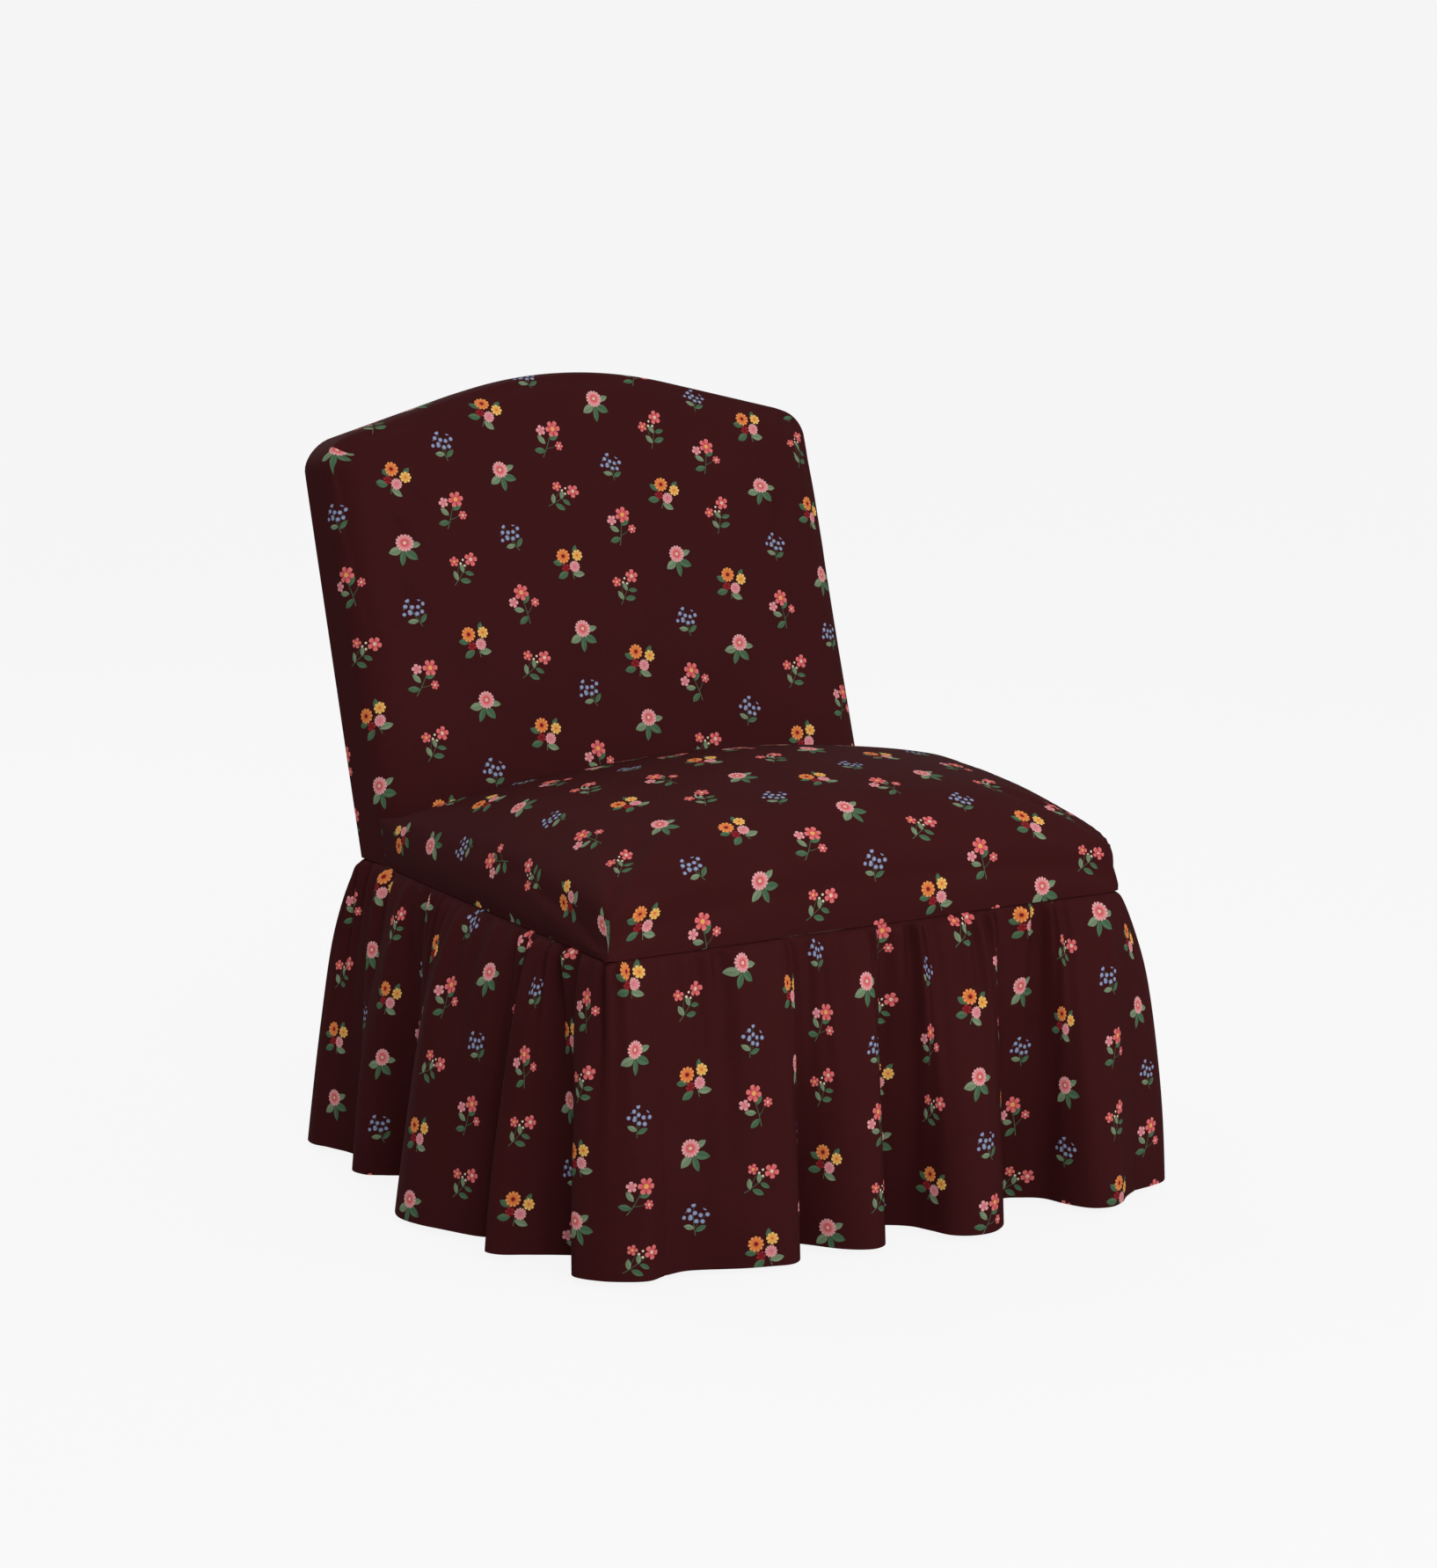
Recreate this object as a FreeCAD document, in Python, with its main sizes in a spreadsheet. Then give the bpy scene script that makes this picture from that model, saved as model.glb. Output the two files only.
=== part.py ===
import FreeCAD, Part
import os
import re
from math import cos, radians, sin, sqrt, tan

import Sketcher

# A slipper chair: a low armless chair with a raked camel-top back, a domed tight
# seat and a gathered skirt to the floor. X runs to the chair's right as seen from
# the front, Y from the front to the back and Z up. The origin lies on the floor
# below the middle of the whole chair. Lengths are millimetres, angles degrees.
V = FreeCAD.Vector
doc = FreeCAD.newDocument("slipper_chair")

# Driving dimensions
SIZES = {
    # The seat, measured on the outer cloth at the skirt seam
    "seat_width": 640,
    "seat_depth": 576,
    "seam_height": 342,
    "seat_side_height": 48,
    "seat_crown_rise": 96,
    "seat_corner_radius": 14,
    "crown_centre_share": 0.44,
    "crown_sharpness": 1.27,
    "crown_fullness": 3.1,
    "crown_front_share": 0.12,
    "crown_back_share": 0.45,
    # The back, measured along its rake from the skirt seam
    "back_length": 534,
    "back_rake": 16.7,
    "back_spread": 3,
    "back_thickness": 91,
    "back_top_thickness": 74,
    "camel_radius": 550,
    "camel_half_width": 140,
    "shoulder_radius": 40,
    "back_roll_radius": 30,
    "back_edge_radius": 10,
    # Cloth and padding
    "cover_thickness": 1.5,
    "cloth_gap": 0.3,
    "seat_batting": 7.7,
    "back_batting": 4.2,
    "back_panel_inset": 11.5,
    # The timber frame
    "frame_inset": 5,
    "rail_thickness": 25,
    "rail_height": 135,
    "rail_above_seam": 13,
    "post_foot_depth": 60,
    "back_frame_depth": 40,
    "back_frame_step": 3,
    "crest_rail_height": 129,
    "stay_rail_foot": 62,
    "stay_rail_height": 55,
    "brace_width": 40,
    "brace_height": 60,
    "block_side": 75,
    "block_height": 40,
    # Legs and what fastens them
    "leg_top_width": 48,
    "leg_foot_width": 34,
    "leg_offset": 22,
    "bolt_diameter": 8,
    "bolt_in_leg": 40,
    "bolt_above_nut": 4,
    "nut_flange_diameter": 20,
    "nut_flange_thickness": 1.5,
    "nut_barrel_diameter": 10,
    "nut_barrel_length": 12,
    "glide_diameter": 30,
    "glide_height": 5,
    "glide_pin_diameter": 4,
    "glide_pin_length": 15,
    # Dowels and screws
    "fit_clearance": 0.1,
    "dowel_diameter": 10,
    "dowel_length": 50,
    "dowel_in_face": 15,
    "dowel_edge": 30,
    "screw_diameter": 4.5,
    "screw_head_diameter": 9,
    "screw_head_height": 3,
    "screw_in_rail": 18,
    "screw_offset": 50,
    "screw_seat": 16,
    # Sinuous springs, their clips and the deck over them
    "spring_count": 5,
    "spring_bends": 24,
    "spring_bar": 24,
    "spring_wire": 3.8,
    "spring_rise": 25,
    "clip_length": 18,
    "clip_depth": 14,
    "clip_height": 6.4,
    "tie_wire": 3,
    "deck_thickness": 1.5,
    "edge_roll_diameter": 22,
    # Webbing, lining and boards of the back
    "web_width": 50,
    "web_thickness": 1,
    "web_count": 3,
    "lining_thickness": 1,
    "board_thickness": 3,
    "tack_bar_width": 12,
    # The gathered skirt
    "hem_height": 8,
    "hem_flare": 40,
    "fold_depth": 25,
    "header_gather": 0.8,
    "flare_power": 0.45,
    "fold_power": 0.5,
    "fold_width_spread": 0.22,
    "fold_depth_spread": 0.25,
    "skirt_thickness": 2,
    "tack_strip_thickness": 1.2,
    "tack_strip_height": 12,
    "corner_fold_share": 0.5,
    "front_folds": 4,
    "side_folds": 3,
    # The dust cover under the frame
    "dust_cover_thickness": 1,
    "dust_cover_inset": 6,
    "staple_width": 10,
    "staple_wire": 0.8,
}

# Places and sizes worked out from the driving dimensions
DERIVED = {
    "reach_behind": "back_edge_radius*(1 - cos(back_rake))"
                    " + (back_length - back_edge_radius)*sin(back_rake)",
    "seat_front": "(hem_flare + fold_depth - seat_depth - reach_behind)/2",
    "back_foot": "seat_front + seat_depth",
    "frame_half": "seat_width/2 - frame_inset",
    "frame_corner": "seat_corner_radius - frame_inset",
    "back_frame_inset": "frame_inset + back_frame_step",
    "back_pad_thickness": "back_frame_inset - board_thickness - cover_thickness - 3*cloth_gap",
    "frame_front": "seat_front + frame_inset",
    "frame_back": "back_foot - frame_inset",
    "rail_top": "seam_height + rail_above_seam",
    "rail_bottom": "rail_top - rail_height",
    "inner_half": "frame_half - rail_thickness",
    "inner_front": "frame_front + rail_thickness",
    "inner_back": "frame_back - rail_thickness",
    "post_front": "inner_back - post_foot_depth",
    "rail_middle": "frame_half - rail_thickness/2",
    "leg_length": "rail_bottom - glide_height",
    "crest_slope": "camel_half_width/sqrt(camel_radius^2 - camel_half_width^2)",
    "crest_apex": "back_length - camel_radius"
                  " + (camel_radius - frame_inset)*sqrt(1 + crest_slope^2)",
    "crest_rail_foot": "back_length - frame_inset - crest_rail_height",
    "stay_rail_top": "stay_rail_foot + stay_rail_height",
    "spring_spacing": "2*inner_half/(spring_count + 0.3)",
    "spring_front": "frame_front + rail_thickness/2",
    "spring_span": "frame_back - frame_front - rail_thickness",
    "spring_middle": "spring_front + spring_span/2",
    "spring_seat": "rail_top + clip_height/2 + cloth_gap",
    "arch_radius": "(spring_span^2/4 + spring_rise^2)/(2*spring_rise)",
    "arch_centre": "spring_seat + spring_rise - arch_radius",
    "tie_radius": "arch_radius + spring_wire/2 + tie_wire/2 + fit_clearance",
    "deck_radius": "tie_radius + tie_wire/2 + fit_clearance",
    "deck_inset": "cover_thickness + seat_batting + 2*cloth_gap",
    "roll_offset": "spring_middle - frame_front - edge_roll_diameter",
    "roll_height": "arch_centre + sqrt((deck_radius + deck_thickness + cloth_gap"
                   " + edge_roll_diameter/2)^2 - roll_offset^2)",
    "web_face": "-(back_frame_inset + back_frame_depth)",
    "lining_face": "web_face - 2*(web_thickness + fit_clearance)",
    "foam_face": "lining_face - lining_thickness - cloth_gap",
    "header_half": "frame_half + tack_strip_thickness + cloth_gap"
                   " + skirt_thickness + header_gather",
    "header_corner": "frame_corner + header_half - frame_half",
    "header_top": "seam_height - cloth_gap",
}

sheet = doc.addObject("Spreadsheet::Sheet", "Sizes")
for row, (alias, size) in enumerate(SIZES.items(), start=1):
    sheet.set(f"A{row}", alias)
    sheet.set(f"B{row}", str(size))
    sheet.setAlias(f"B{row}", alias)
doc.recompute()


def expand(text):
    """Write a size out in terms of the sheet's cells."""
    def swap(match):
        word = match.group(0)
        if word in SIZES:
            return "Sizes." + word
        if word in DERIVED:
            return "(" + expand(DERIVED[word]) + ")"
        return word
    return re.sub(r"[a-z][a-z_]*", swap, str(text))


def num(text):
    """The value of a size in millimetres or degrees."""
    return float(sheet.evalExpression(expand(text)))


def bind(piece, **sizes):
    for name, text in sizes.items():
        piece.setExpression(name, expand(text))


def place(piece, x, y, z):
    for axis, text in zip("xyz", (x, y, z)):
        piece.setExpression("Placement.Base." + axis, expand(text))


# Turns that point a cylinder, which starts along +Z, another way
TURNS = {
    "+x": (V(0, 1, 0), 90),
    "-x": (V(0, 1, 0), -90),
    "+y": (V(1, 0, 0), -90),
    "-y": (V(1, 0, 0), 90),
}


def turn(piece, axis):
    if axis == "rake":
        piece.Placement.Rotation = FreeCAD.Rotation(V(1, 0, 0), -1)
        piece.setExpression("Placement.Rotation.Angle", expand("-back_rake"))
    elif axis != "+z":
        piece.Placement.Rotation = FreeCAD.Rotation(*TURNS[axis])


def box(x, y, z, length, width, height, axis="+z"):
    """A block with its low corner at x, y, z."""
    piece = doc.addObject("Part::Box", "block")
    bind(piece, Length=length, Width=width, Height=height)
    turn(piece, axis)
    place(piece, x, y, z)
    return piece


def rod(x, y, z, radius, length, axis="+z"):
    """A cylinder that starts at x, y, z and runs along an axis."""
    piece = doc.addObject("Part::Cylinder", "rod")
    bind(piece, Radius=radius, Height=length)
    turn(piece, axis)
    place(piece, x, y, z)
    return piece


def group(pieces):
    piece = doc.addObject("Part::Compound", "group")
    piece.Links = pieces
    return piece


def joined(pieces):
    piece = doc.addObject("Part::MultiFuse", "joined")
    piece.Shapes = pieces
    return piece


def cut(base, tools):
    piece = doc.addObject("Part::Cut", "cut")
    piece.Base = base
    piece.Tool = tools[0] if len(tools) == 1 else group(tools)
    return piece


NODES = []


def node(label, piece):
    """Name a finished sub-part."""
    piece.Label = label
    NODES.append(piece)
    return piece


def soft(label, shape):
    """A sub-part whose form is worked out below."""
    piece = doc.addObject("Part::Feature", "form")
    piece.Shape = shape
    piece.Placement = FreeCAD.Placement()
    return node(label, piece)


def raked(y, up):
    """The chair's Y and Z of a place given across the back and up along its rake."""
    across = f"back_foot + ({y})*cos(back_rake) + ({up})*sin(back_rake)"
    above = f"seam_height - ({y})*sin(back_rake) + ({up})*cos(back_rake)"
    return across, above


def outline_body(plane, corners, depth):
    """A body padded from a straight-sided outline whose corners are bound to sizes."""
    body = doc.addObject("PartDesign::Body", "body")
    sketch = body.newObject("Sketcher::SketchObject", "outline")
    home = [part for part in body.Origin.OriginFeatures if part.Role == plane][0]
    sketch.AttachmentSupport = [(home, "")]
    sketch.MapMode = "FlatFace"
    spots = [V(num(across), num(up), 0) for across, up in corners]
    count = len(spots)
    for index in range(count):
        sketch.addGeometry(Part.LineSegment(spots[index], spots[(index + 1) % count]))
    for index in range(count):
        joint = (index, 2, (index + 1) % count, 1)
        sketch.addConstraint(Sketcher.Constraint("Coincident", *joint))
    for index, texts in enumerate(corners):
        for kind, text, value in zip(("DistanceX", "DistanceY"), texts, spots[index]):
            rule = Sketcher.Constraint(kind, -1, 1, index, 1, value)
            number = sketch.addConstraint(rule)
            sketch.setExpression(f"Constraints[{number}]", expand(text))
    pad = body.newObject("PartDesign::Pad", "pad")
    pad.Profile = sketch
    bind(pad, Length=depth)
    doc.recompute()
    return body, pad


def round_edge(body, feature, spot, radius):
    """Round the edge that passes a body at a spot given on two of its three axes."""
    edges = []
    for number, edge in enumerate(feature.Shape.Edges, start=1):
        ends = [vertex.Point for vertex in edge.Vertexes]
        gaps = [abs(getattr(end, axis) - spot[axis]) for end in ends for axis in spot]
        if max(gaps) < 0.01:
            edges.append(f"Edge{number}")
    fillet = body.newObject("PartDesign::Fillet", "rounding")
    fillet.Base = (feature, edges)
    bind(fillet, Radius=radius)
    doc.recompute()
    return fillet


# Corners of the seat frame: which way lies outwards in X and in Y
CORNERS = {
    "front_left": (-1, -1),
    "front_right": (1, -1),
    "back_left": (-1, 1),
    "back_right": (1, 1),
}


def inside_corner(side, end, along_x, along_y):
    """A place measured from the inside corner of the rails towards the middle."""
    x = f"{side}*(inner_half - ({along_x}))"
    y = f"inner_front + {along_y}" if end < 0 else f"inner_back - ({along_y})"
    return x, y


# Dowels: each joint has the place where a dowel starts, and its way
dowel_spots = []
for side in (-1, 1):
    for height in ("rail_bottom + dowel_edge", "rail_top - dowel_edge"):
        middle = f"{side}*rail_middle"
        dowel_spots += [
            (middle, "inner_front - dowel_in_face", height, "+y"),
            (middle, "post_front - dowel_length/2", height, "+y"),
            (middle, "inner_back - dowel_length + dowel_in_face", height, "+y"),
        ]
    for share in (0.25, 0.75):
        across = f"-back_frame_inset - {share}*back_frame_depth"
        y, z = raked(across, "crest_rail_foot - dowel_length/2")
        dowel_spots.append((f"{side}*rail_middle", y, z, "rake"))
        up = f"stay_rail_foot + {share}*stay_rail_height"
        y, z = raked("web_face + rail_thickness/2", up)
        start = f"{side}*(inner_half + dowel_in_face)"
        dowel_spots.append((start, y, z, "-x" if side > 0 else "+x"))
dowels = []
dowel_holes = []
for x, y, z, axis in dowel_spots:
    dowels.append(rod(x, y, z, "dowel_diameter/2", "dowel_length", axis))
    hole = rod(x, y, z, "dowel_diameter/2 + fit_clearance", "dowel_length", axis)
    dowel_holes.append(hole)
node("rail_dowels", group(dowels))

# Corner block screws: one into each rail, its head sunk in the block
screws = []
screw_holes = []
head_holes = {name: [] for name in CORNERS}
for name, (side, end) in CORNERS.items():
    ways = {"x": "+x" if side > 0 else "-x", "y": "+y" if end > 0 else "-y"}
    for way, axis in ways.items():
        spot = ("screw_seat", "screw_offset") if way == "x" else ("screw_offset", "screw_seat")
        x, y = inside_corner(side, end, *spot)
        z = "rail_bottom + block_height/2"
        shank = rod(x, y, z, "screw_diameter/2", "screw_seat + screw_in_rail", axis)
        back = {"+": "-", "-": "+"}[axis[0]] + axis[1]
        head = rod(x, y, z, "screw_head_diameter/2", "screw_head_height", back)
        screws.append(joined([shank, head]))
        bore = "screw_diameter/2 + fit_clearance"
        screw_holes.append(rod(x, y, z, bore, "screw_seat + screw_in_rail", axis))
        sink = "screw_head_diameter/2 + 4*fit_clearance"
        head_holes[name].append(rod(x, y, z, sink, "block_side", back))
node("corner_block_screws", group(screws))
frame_holes = group(dowel_holes + screw_holes)

# Seat frame rails: the front and back ones span the chair, the side ones fit between
for label, outside, inside in (("front_rail", "frame_front", "inner_front"),
                               ("back_rail", "frame_back", "inner_back")):
    rail_corners = [("-frame_half", outside), ("frame_half", outside),
                    ("frame_half", inside), ("-frame_half", inside)]
    body, rail = outline_body("XY_Plane", rail_corners, "rail_height")
    for side in (-1, 1):
        spot = {"x": side * num("frame_half"), "y": num(outside)}
        rail = round_edge(body, rail, spot, "frame_corner")
    place(body, 0, 0, "rail_bottom")
    node(label, cut(body, [frame_holes]))
for label, x in (("left_rail", "-frame_half"), ("right_rail", "inner_half")):
    rail = box(x, "inner_front", "rail_bottom",
               "rail_thickness", "post_front - inner_front", "rail_height")
    node(label, cut(rail, [frame_holes]))
brace = box("-brace_width/2", "inner_front", "rail_bottom",
            "brace_width", "inner_back - inner_front", "brace_height")
node("seat_brace", brace)

# Back posts: an upright foot beside the back rail, then a raked stile that sits on it
heel = "-back_frame_inset"
toe = "web_face"
up_to_rail = "(rail_top - seam_height + ({0})*sin(back_rake))/cos(back_rake)"
post_corners = [
    ("post_front", "rail_bottom"),
    ("inner_back", "rail_bottom"),
    ("inner_back", "rail_top"),
    raked(heel, up_to_rail.format(heel)),
    raked(heel, "crest_rail_foot"),
    raked(toe, "crest_rail_foot"),
    raked(toe, up_to_rail.format(toe)),
]
for label, x in (("left_back_post", "-frame_half"), ("right_back_post", "inner_half")):
    body, pad = outline_body("YZ_Plane", post_corners, "rail_thickness")
    place(body, x, 0, 0)
    node(label, cut(body, [frame_holes]))

# Crest rail: the camel top, sawn from a board that lies in the rake
crest_side = "crest_apex - crest_slope*frame_half"
crest_corners = [
    ("-frame_half", 0),
    ("frame_half", 0),
    ("frame_half", f"{crest_side} - crest_rail_foot"),
    (0, "crest_apex - crest_rail_foot"),
    ("-frame_half", f"{crest_side} - crest_rail_foot"),
]
body, crest = outline_body("XZ_Plane", crest_corners, "back_frame_depth")
spot = {"x": 0, "z": num("crest_apex - crest_rail_foot")}
crest = round_edge(body, crest, spot, "camel_radius - frame_inset")
for side in (-1, 1):
    spot = {"x": side * num("frame_half"), "z": num(f"{crest_side} - crest_rail_foot")}
    crest = round_edge(body, crest, spot, "shoulder_radius - frame_inset")
turn(body, "rake")
place(body, 0, *raked(heel, "crest_rail_foot"))
node("crest_rail", cut(body, [frame_holes]))

# Stay rail: it closes the back frame just above the seat
stay_rail = box("-inner_half", *raked(toe, "stay_rail_foot"),
                "2*inner_half", "rail_thickness", "stay_rail_height", "rake")
node("stay_rail", cut(stay_rail, [frame_holes]))

# Corner blocks, legs, leg bolts, tee nuts and glides, corner by corner
bolts = []
nuts = []
glides = []
block_top = "rail_bottom + block_height"
for name, (side, end) in CORNERS.items():
    corner = inside_corner(side, end, 0, 0)
    block_corners = [corner, inside_corner(side, end, "block_side", 0),
                     inside_corner(side, end, 0, "block_side")]
    block, pad = outline_body("XY_Plane", block_corners, "block_height")
    place(block, 0, 0, "rail_bottom")
    leg_x, leg_y = inside_corner(side, end, "leg_offset", "leg_offset")
    bore = rod(leg_x, leg_y, "rail_bottom - bolt_in_leg",
               "bolt_diameter/2 + fit_clearance", "bolt_in_leg + block_height")
    barrel = rod(leg_x, leg_y, f"{block_top} - nut_barrel_length",
                 "nut_barrel_diameter/2 + fit_clearance", "nut_barrel_length")
    node(f"{name}_corner_block", cut(block, [bore, barrel] + head_holes[name] + screw_holes))

    leg = doc.addObject("Part::Wedge", "taper")
    for low, high, width in (("Xmin", "Xmax", "leg_top_width"),
                             ("Zmin", "Zmax", "leg_top_width"),
                             ("X2min", "X2max", "leg_foot_width"),
                             ("Z2min", "Z2max", "leg_foot_width")):
        bind(leg, **{low: f"-{width}/2", high: f"{width}/2"})
    bind(leg, Ymin="0", Ymax="leg_length")
    turn(leg, "+y")
    place(leg, leg_x, leg_y, "rail_bottom")
    pin = rod(leg_x, leg_y, "glide_height",
              "glide_pin_diameter/2 + fit_clearance", "glide_pin_length")
    node(f"{name}_leg", cut(leg, [bore, pin]))

    bolts.append(rod(leg_x, leg_y, "rail_bottom - bolt_in_leg", "bolt_diameter/2",
                     "bolt_in_leg + block_height + nut_flange_thickness + bolt_above_nut"))
    flange = rod(leg_x, leg_y, block_top, "nut_flange_diameter/2", "nut_flange_thickness")
    sleeve = rod(leg_x, leg_y, f"{block_top} - nut_barrel_length",
                 "nut_barrel_diameter/2", "nut_barrel_length")
    thread = rod(leg_x, leg_y, "rail_bottom", "bolt_diameter/2 + fit_clearance",
                 "2*block_height")
    nuts.append(cut(joined([flange, sleeve]), [thread]))
    disc = rod(leg_x, leg_y, 0, "glide_diameter/2", "glide_height")
    spike = rod(leg_x, leg_y, "glide_height", "glide_pin_diameter/2", "glide_pin_length")
    glides.append(joined([disc, spike]))
node("leg_bolts", group(bolts))
node("tee_nuts", group(nuts))
node("leg_glides", group(glides))


def arch_height(y):
    """Height of a spring's wire at a place along its arch."""
    offset = y - num("spring_middle")
    return num("arch_centre") + sqrt(num("arch_radius")**2 - offset**2)


def spring(x):
    """One sinuous spring: cross bars joined by half turns, arched from rail to rail."""
    bends = int(num("spring_bends"))
    pitch = num("spring_span") / bends
    half_bar = num("spring_bar") / 2
    rows = [num("spring_front") + index * pitch for index in range(bends + 1)]
    edges = []
    for index, y in enumerate(rows):
        side = 1 if index % 2 == 0 else -1
        start = V(x - side * half_bar, y, arch_height(y))
        end = V(x + side * half_bar, y, arch_height(y))
        edges.append(Part.LineSegment(start, end).toShape())
        if index < bends:
            after = V(end.x, rows[index + 1], arch_height(rows[index + 1]))
            bulge = V(side * (after - end).Length / 2, 0, 0)
            edges.append(Part.Arc(end, (end + after) / 2 + bulge, after).toShape())
    path = Part.Wire(edges)
    ring = Part.makeCircle(num("spring_wire/2"), edges[0].Vertexes[0].Point, V(1, 0, 0))
    return path.makePipeShell([Part.Wire(ring)], True, False)


count = int(num("spring_count"))
spring_rows = [f"{index - (count - 1) / 2}*spring_spacing" for index in range(count)]
soft("seat_springs", Part.Compound([spring(num(x)) for x in spring_rows]))

clips = []
wires = []
for x in spring_rows:
    for y in ("spring_front", "spring_front + spring_span"):
        clip = box(f"{x} - clip_length/2", f"{y} - clip_depth/2", "rail_top",
                   "clip_length", "clip_depth", "clip_height")
        clips.append(clip)
        wires.append(rod(f"{x} - clip_length", y, "spring_seat",
                         "spring_wire/2 + fit_clearance", "2*clip_length", "+x"))
node("spring_clips", cut(group(clips), [group(wires)]))

# Tie wires: they lie across the springs at a third and two thirds of their span
tie_half = "spring_spacing*(spring_count - 1)/2 + spring_bar"
ties = []
for share in (-1, 1):
    offset = f"{share}*spring_span/6"
    z = f"arch_centre + sqrt(tie_radius^2 - ({offset})^2)"
    ties.append(rod(f"-({tie_half})", f"spring_middle + {offset}", z,
                    "tie_wire/2", f"2*({tie_half})", "+x"))
node("spring_tie_wires", group(ties))

# Deck cloth over the springs, and the roll that stiffens the seat's front edge
deck_width = "2*(inner_half - dust_cover_inset)"
deck_block = box(f"-({deck_width})/2", "seat_front + deck_inset", "rail_top", deck_width,
                 "seat_depth - 2*deck_inset", "spring_rise + rail_thickness")
deck_top = rod("-seat_width", "spring_middle", "arch_centre",
               "deck_radius + deck_thickness", "2*seat_width", "+x")
deck_under = rod("-seat_width", "spring_middle", "arch_centre",
                 "deck_radius", "2*seat_width", "+x")
deck = doc.addObject("Part::Common", "deck")
deck.Base = deck_block
deck.Tool = cut(deck_top, [deck_under])
node("deck_cloth", deck)
roll_half = "inner_half - dust_cover_inset"
edge_roll = rod(f"-({roll_half})", "frame_front + edge_roll_diameter", "roll_height",
                "edge_roll_diameter/2", f"2*({roll_half})", "+x")
node("front_edge_roll", edge_roll)


def rounded_wire(corners, radii):
    """A closed outline of straight lines whose corners are tangent arcs."""
    count = len(corners)
    stretches = []
    for index, (corner, radius) in enumerate(zip(corners, radii)):
        before = (corners[index - 1] - corner).normalize()
        after = (corners[(index + 1) % count] - corner).normalize()
        if radius == 0:
            stretches.append((corner, corner, None))
            continue
        half = before.getAngle(after) / 2
        start = corner + before * (radius / tan(half))
        end = corner + after * (radius / tan(half))
        middle = (before + after).normalize() * (radius / sin(half) - radius)
        stretches.append((start, end, Part.Arc(start, corner + middle, end)))
    edges = []
    for index, (start, end, arc) in enumerate(stretches):
        if arc:
            edges.append(arc.toShape())
        edges.append(Part.LineSegment(end, stretches[(index + 1) % count][0]).toShape())
    return Part.Wire(edges)


def to_back(shape):
    """Carry a shape drawn in the back's own frame to its place on the rake."""
    shape.rotate(V(0, 0, 0), V(1, 0, 0), -num("back_rake"))
    shape.translate(V(0, num("back_foot"), num("seam_height")))
    return shape


def back_outline(inset, foot):
    """The camel-topped outline of the back, drawn in from the outer cloth."""
    slope = num("crest_slope")
    apex = num("back_length - camel_radius")
    apex += (num("camel_radius") - inset) * sqrt(1 + slope**2)
    low = num("seat_width/2") - inset
    spread = num("back_spread/back_length")
    shoulder = (low + spread * apex) / (1 + spread * slope)
    foot_half = low + spread * foot
    corners = [V(-foot_half, 0, foot), V(foot_half, 0, foot),
               V(shoulder, 0, apex - slope * shoulder), V(0, 0, apex),
               V(-shoulder, 0, apex - slope * shoulder)]
    round_shoulder = num("shoulder_radius") - inset
    radii = (0, 0, round_shoulder, num("camel_radius") - inset, round_shoulder)
    return Part.Face(rounded_wire(corners, radii))


def back_slab(inset, foot, rear, front):
    """A flat layer of the back between two depths from its rear cloth."""
    face = back_outline(inset, foot)
    face.translate(V(0, rear, 0))
    return face.extrude(V(0, front - rear, 0))


def back_form(inset):
    """The padded back: it thins towards the top and rolls over its front edges."""
    foot = -num("seam_height/4")
    top = num("back_length")
    low = num("back_thickness")
    high = num("back_top_thickness")
    depths = [-(low + (high - low) * up / top) + inset for up in (foot, top)]
    profile = [V(0, -inset, foot), V(0, depths[0], foot),
               V(0, depths[1], top), V(0, -inset, top)]
    side = Part.Face(Part.makePolygon(profile + profile[:1]))
    side.translate(V(-num("seat_width"), 0, 0))
    side = side.extrude(V(2 * num("seat_width"), 0, 0))
    form = back_slab(inset, foot, -inset, -2 * low).common(side)
    fronts = []
    for edge in form.Edges:
        spots = [edge.valueAt(edge.FirstParameter), edge.valueAt(edge.LastParameter)]
        if max(spot.z for spot in spots) < foot + 1:
            continue
        gaps = [spot.y + low + (high - low) * spot.z / top - inset for spot in spots]
        if max(abs(gap) for gap in gaps) < 0.01:
            fronts.append(edge)
    form = form.makeFillet(num("back_roll_radius") - inset, fronts)
    if num("back_edge_radius") > inset:
        rears = [edge for edge in form.Edges if all(
            abs(vertex.Point.y + inset) < 0.01 and vertex.Point.z > foot - 1
            for vertex in edge.Vertexes) and edge.CenterOfMass.z > foot + 1]
        form = form.makeFillet(num("back_edge_radius") - inset, rears)
    return to_back(form)


def space(x, y, z):
    """A block between two places on each axis, for trimming soft forms."""
    low = V(x[0], y[0], z[0])
    return Part.makeBox(x[1] - x[0], y[1] - y[0], z[1] - z[0], low)


FAR = 2 * num("back_length")
gap = num("cloth_gap")
cover = num("cover_thickness")
seam = num("seam_height")
rail_top = num("rail_top")
below_seam = space((-FAR, FAR), (-FAR, FAR), (-FAR, seam))
below_rails = space((-FAR, FAR), (-FAR, FAR), (-FAR, rail_top + gap))
stay_foot = num(raked(toe, "stay_rail_foot")[1])
inner_cloth = num("seat_width/2 - back_roll_radius")
under_stay = space((-inner_cloth, inner_cloth), (-FAR, FAR), (-FAR, stay_foot))

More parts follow.
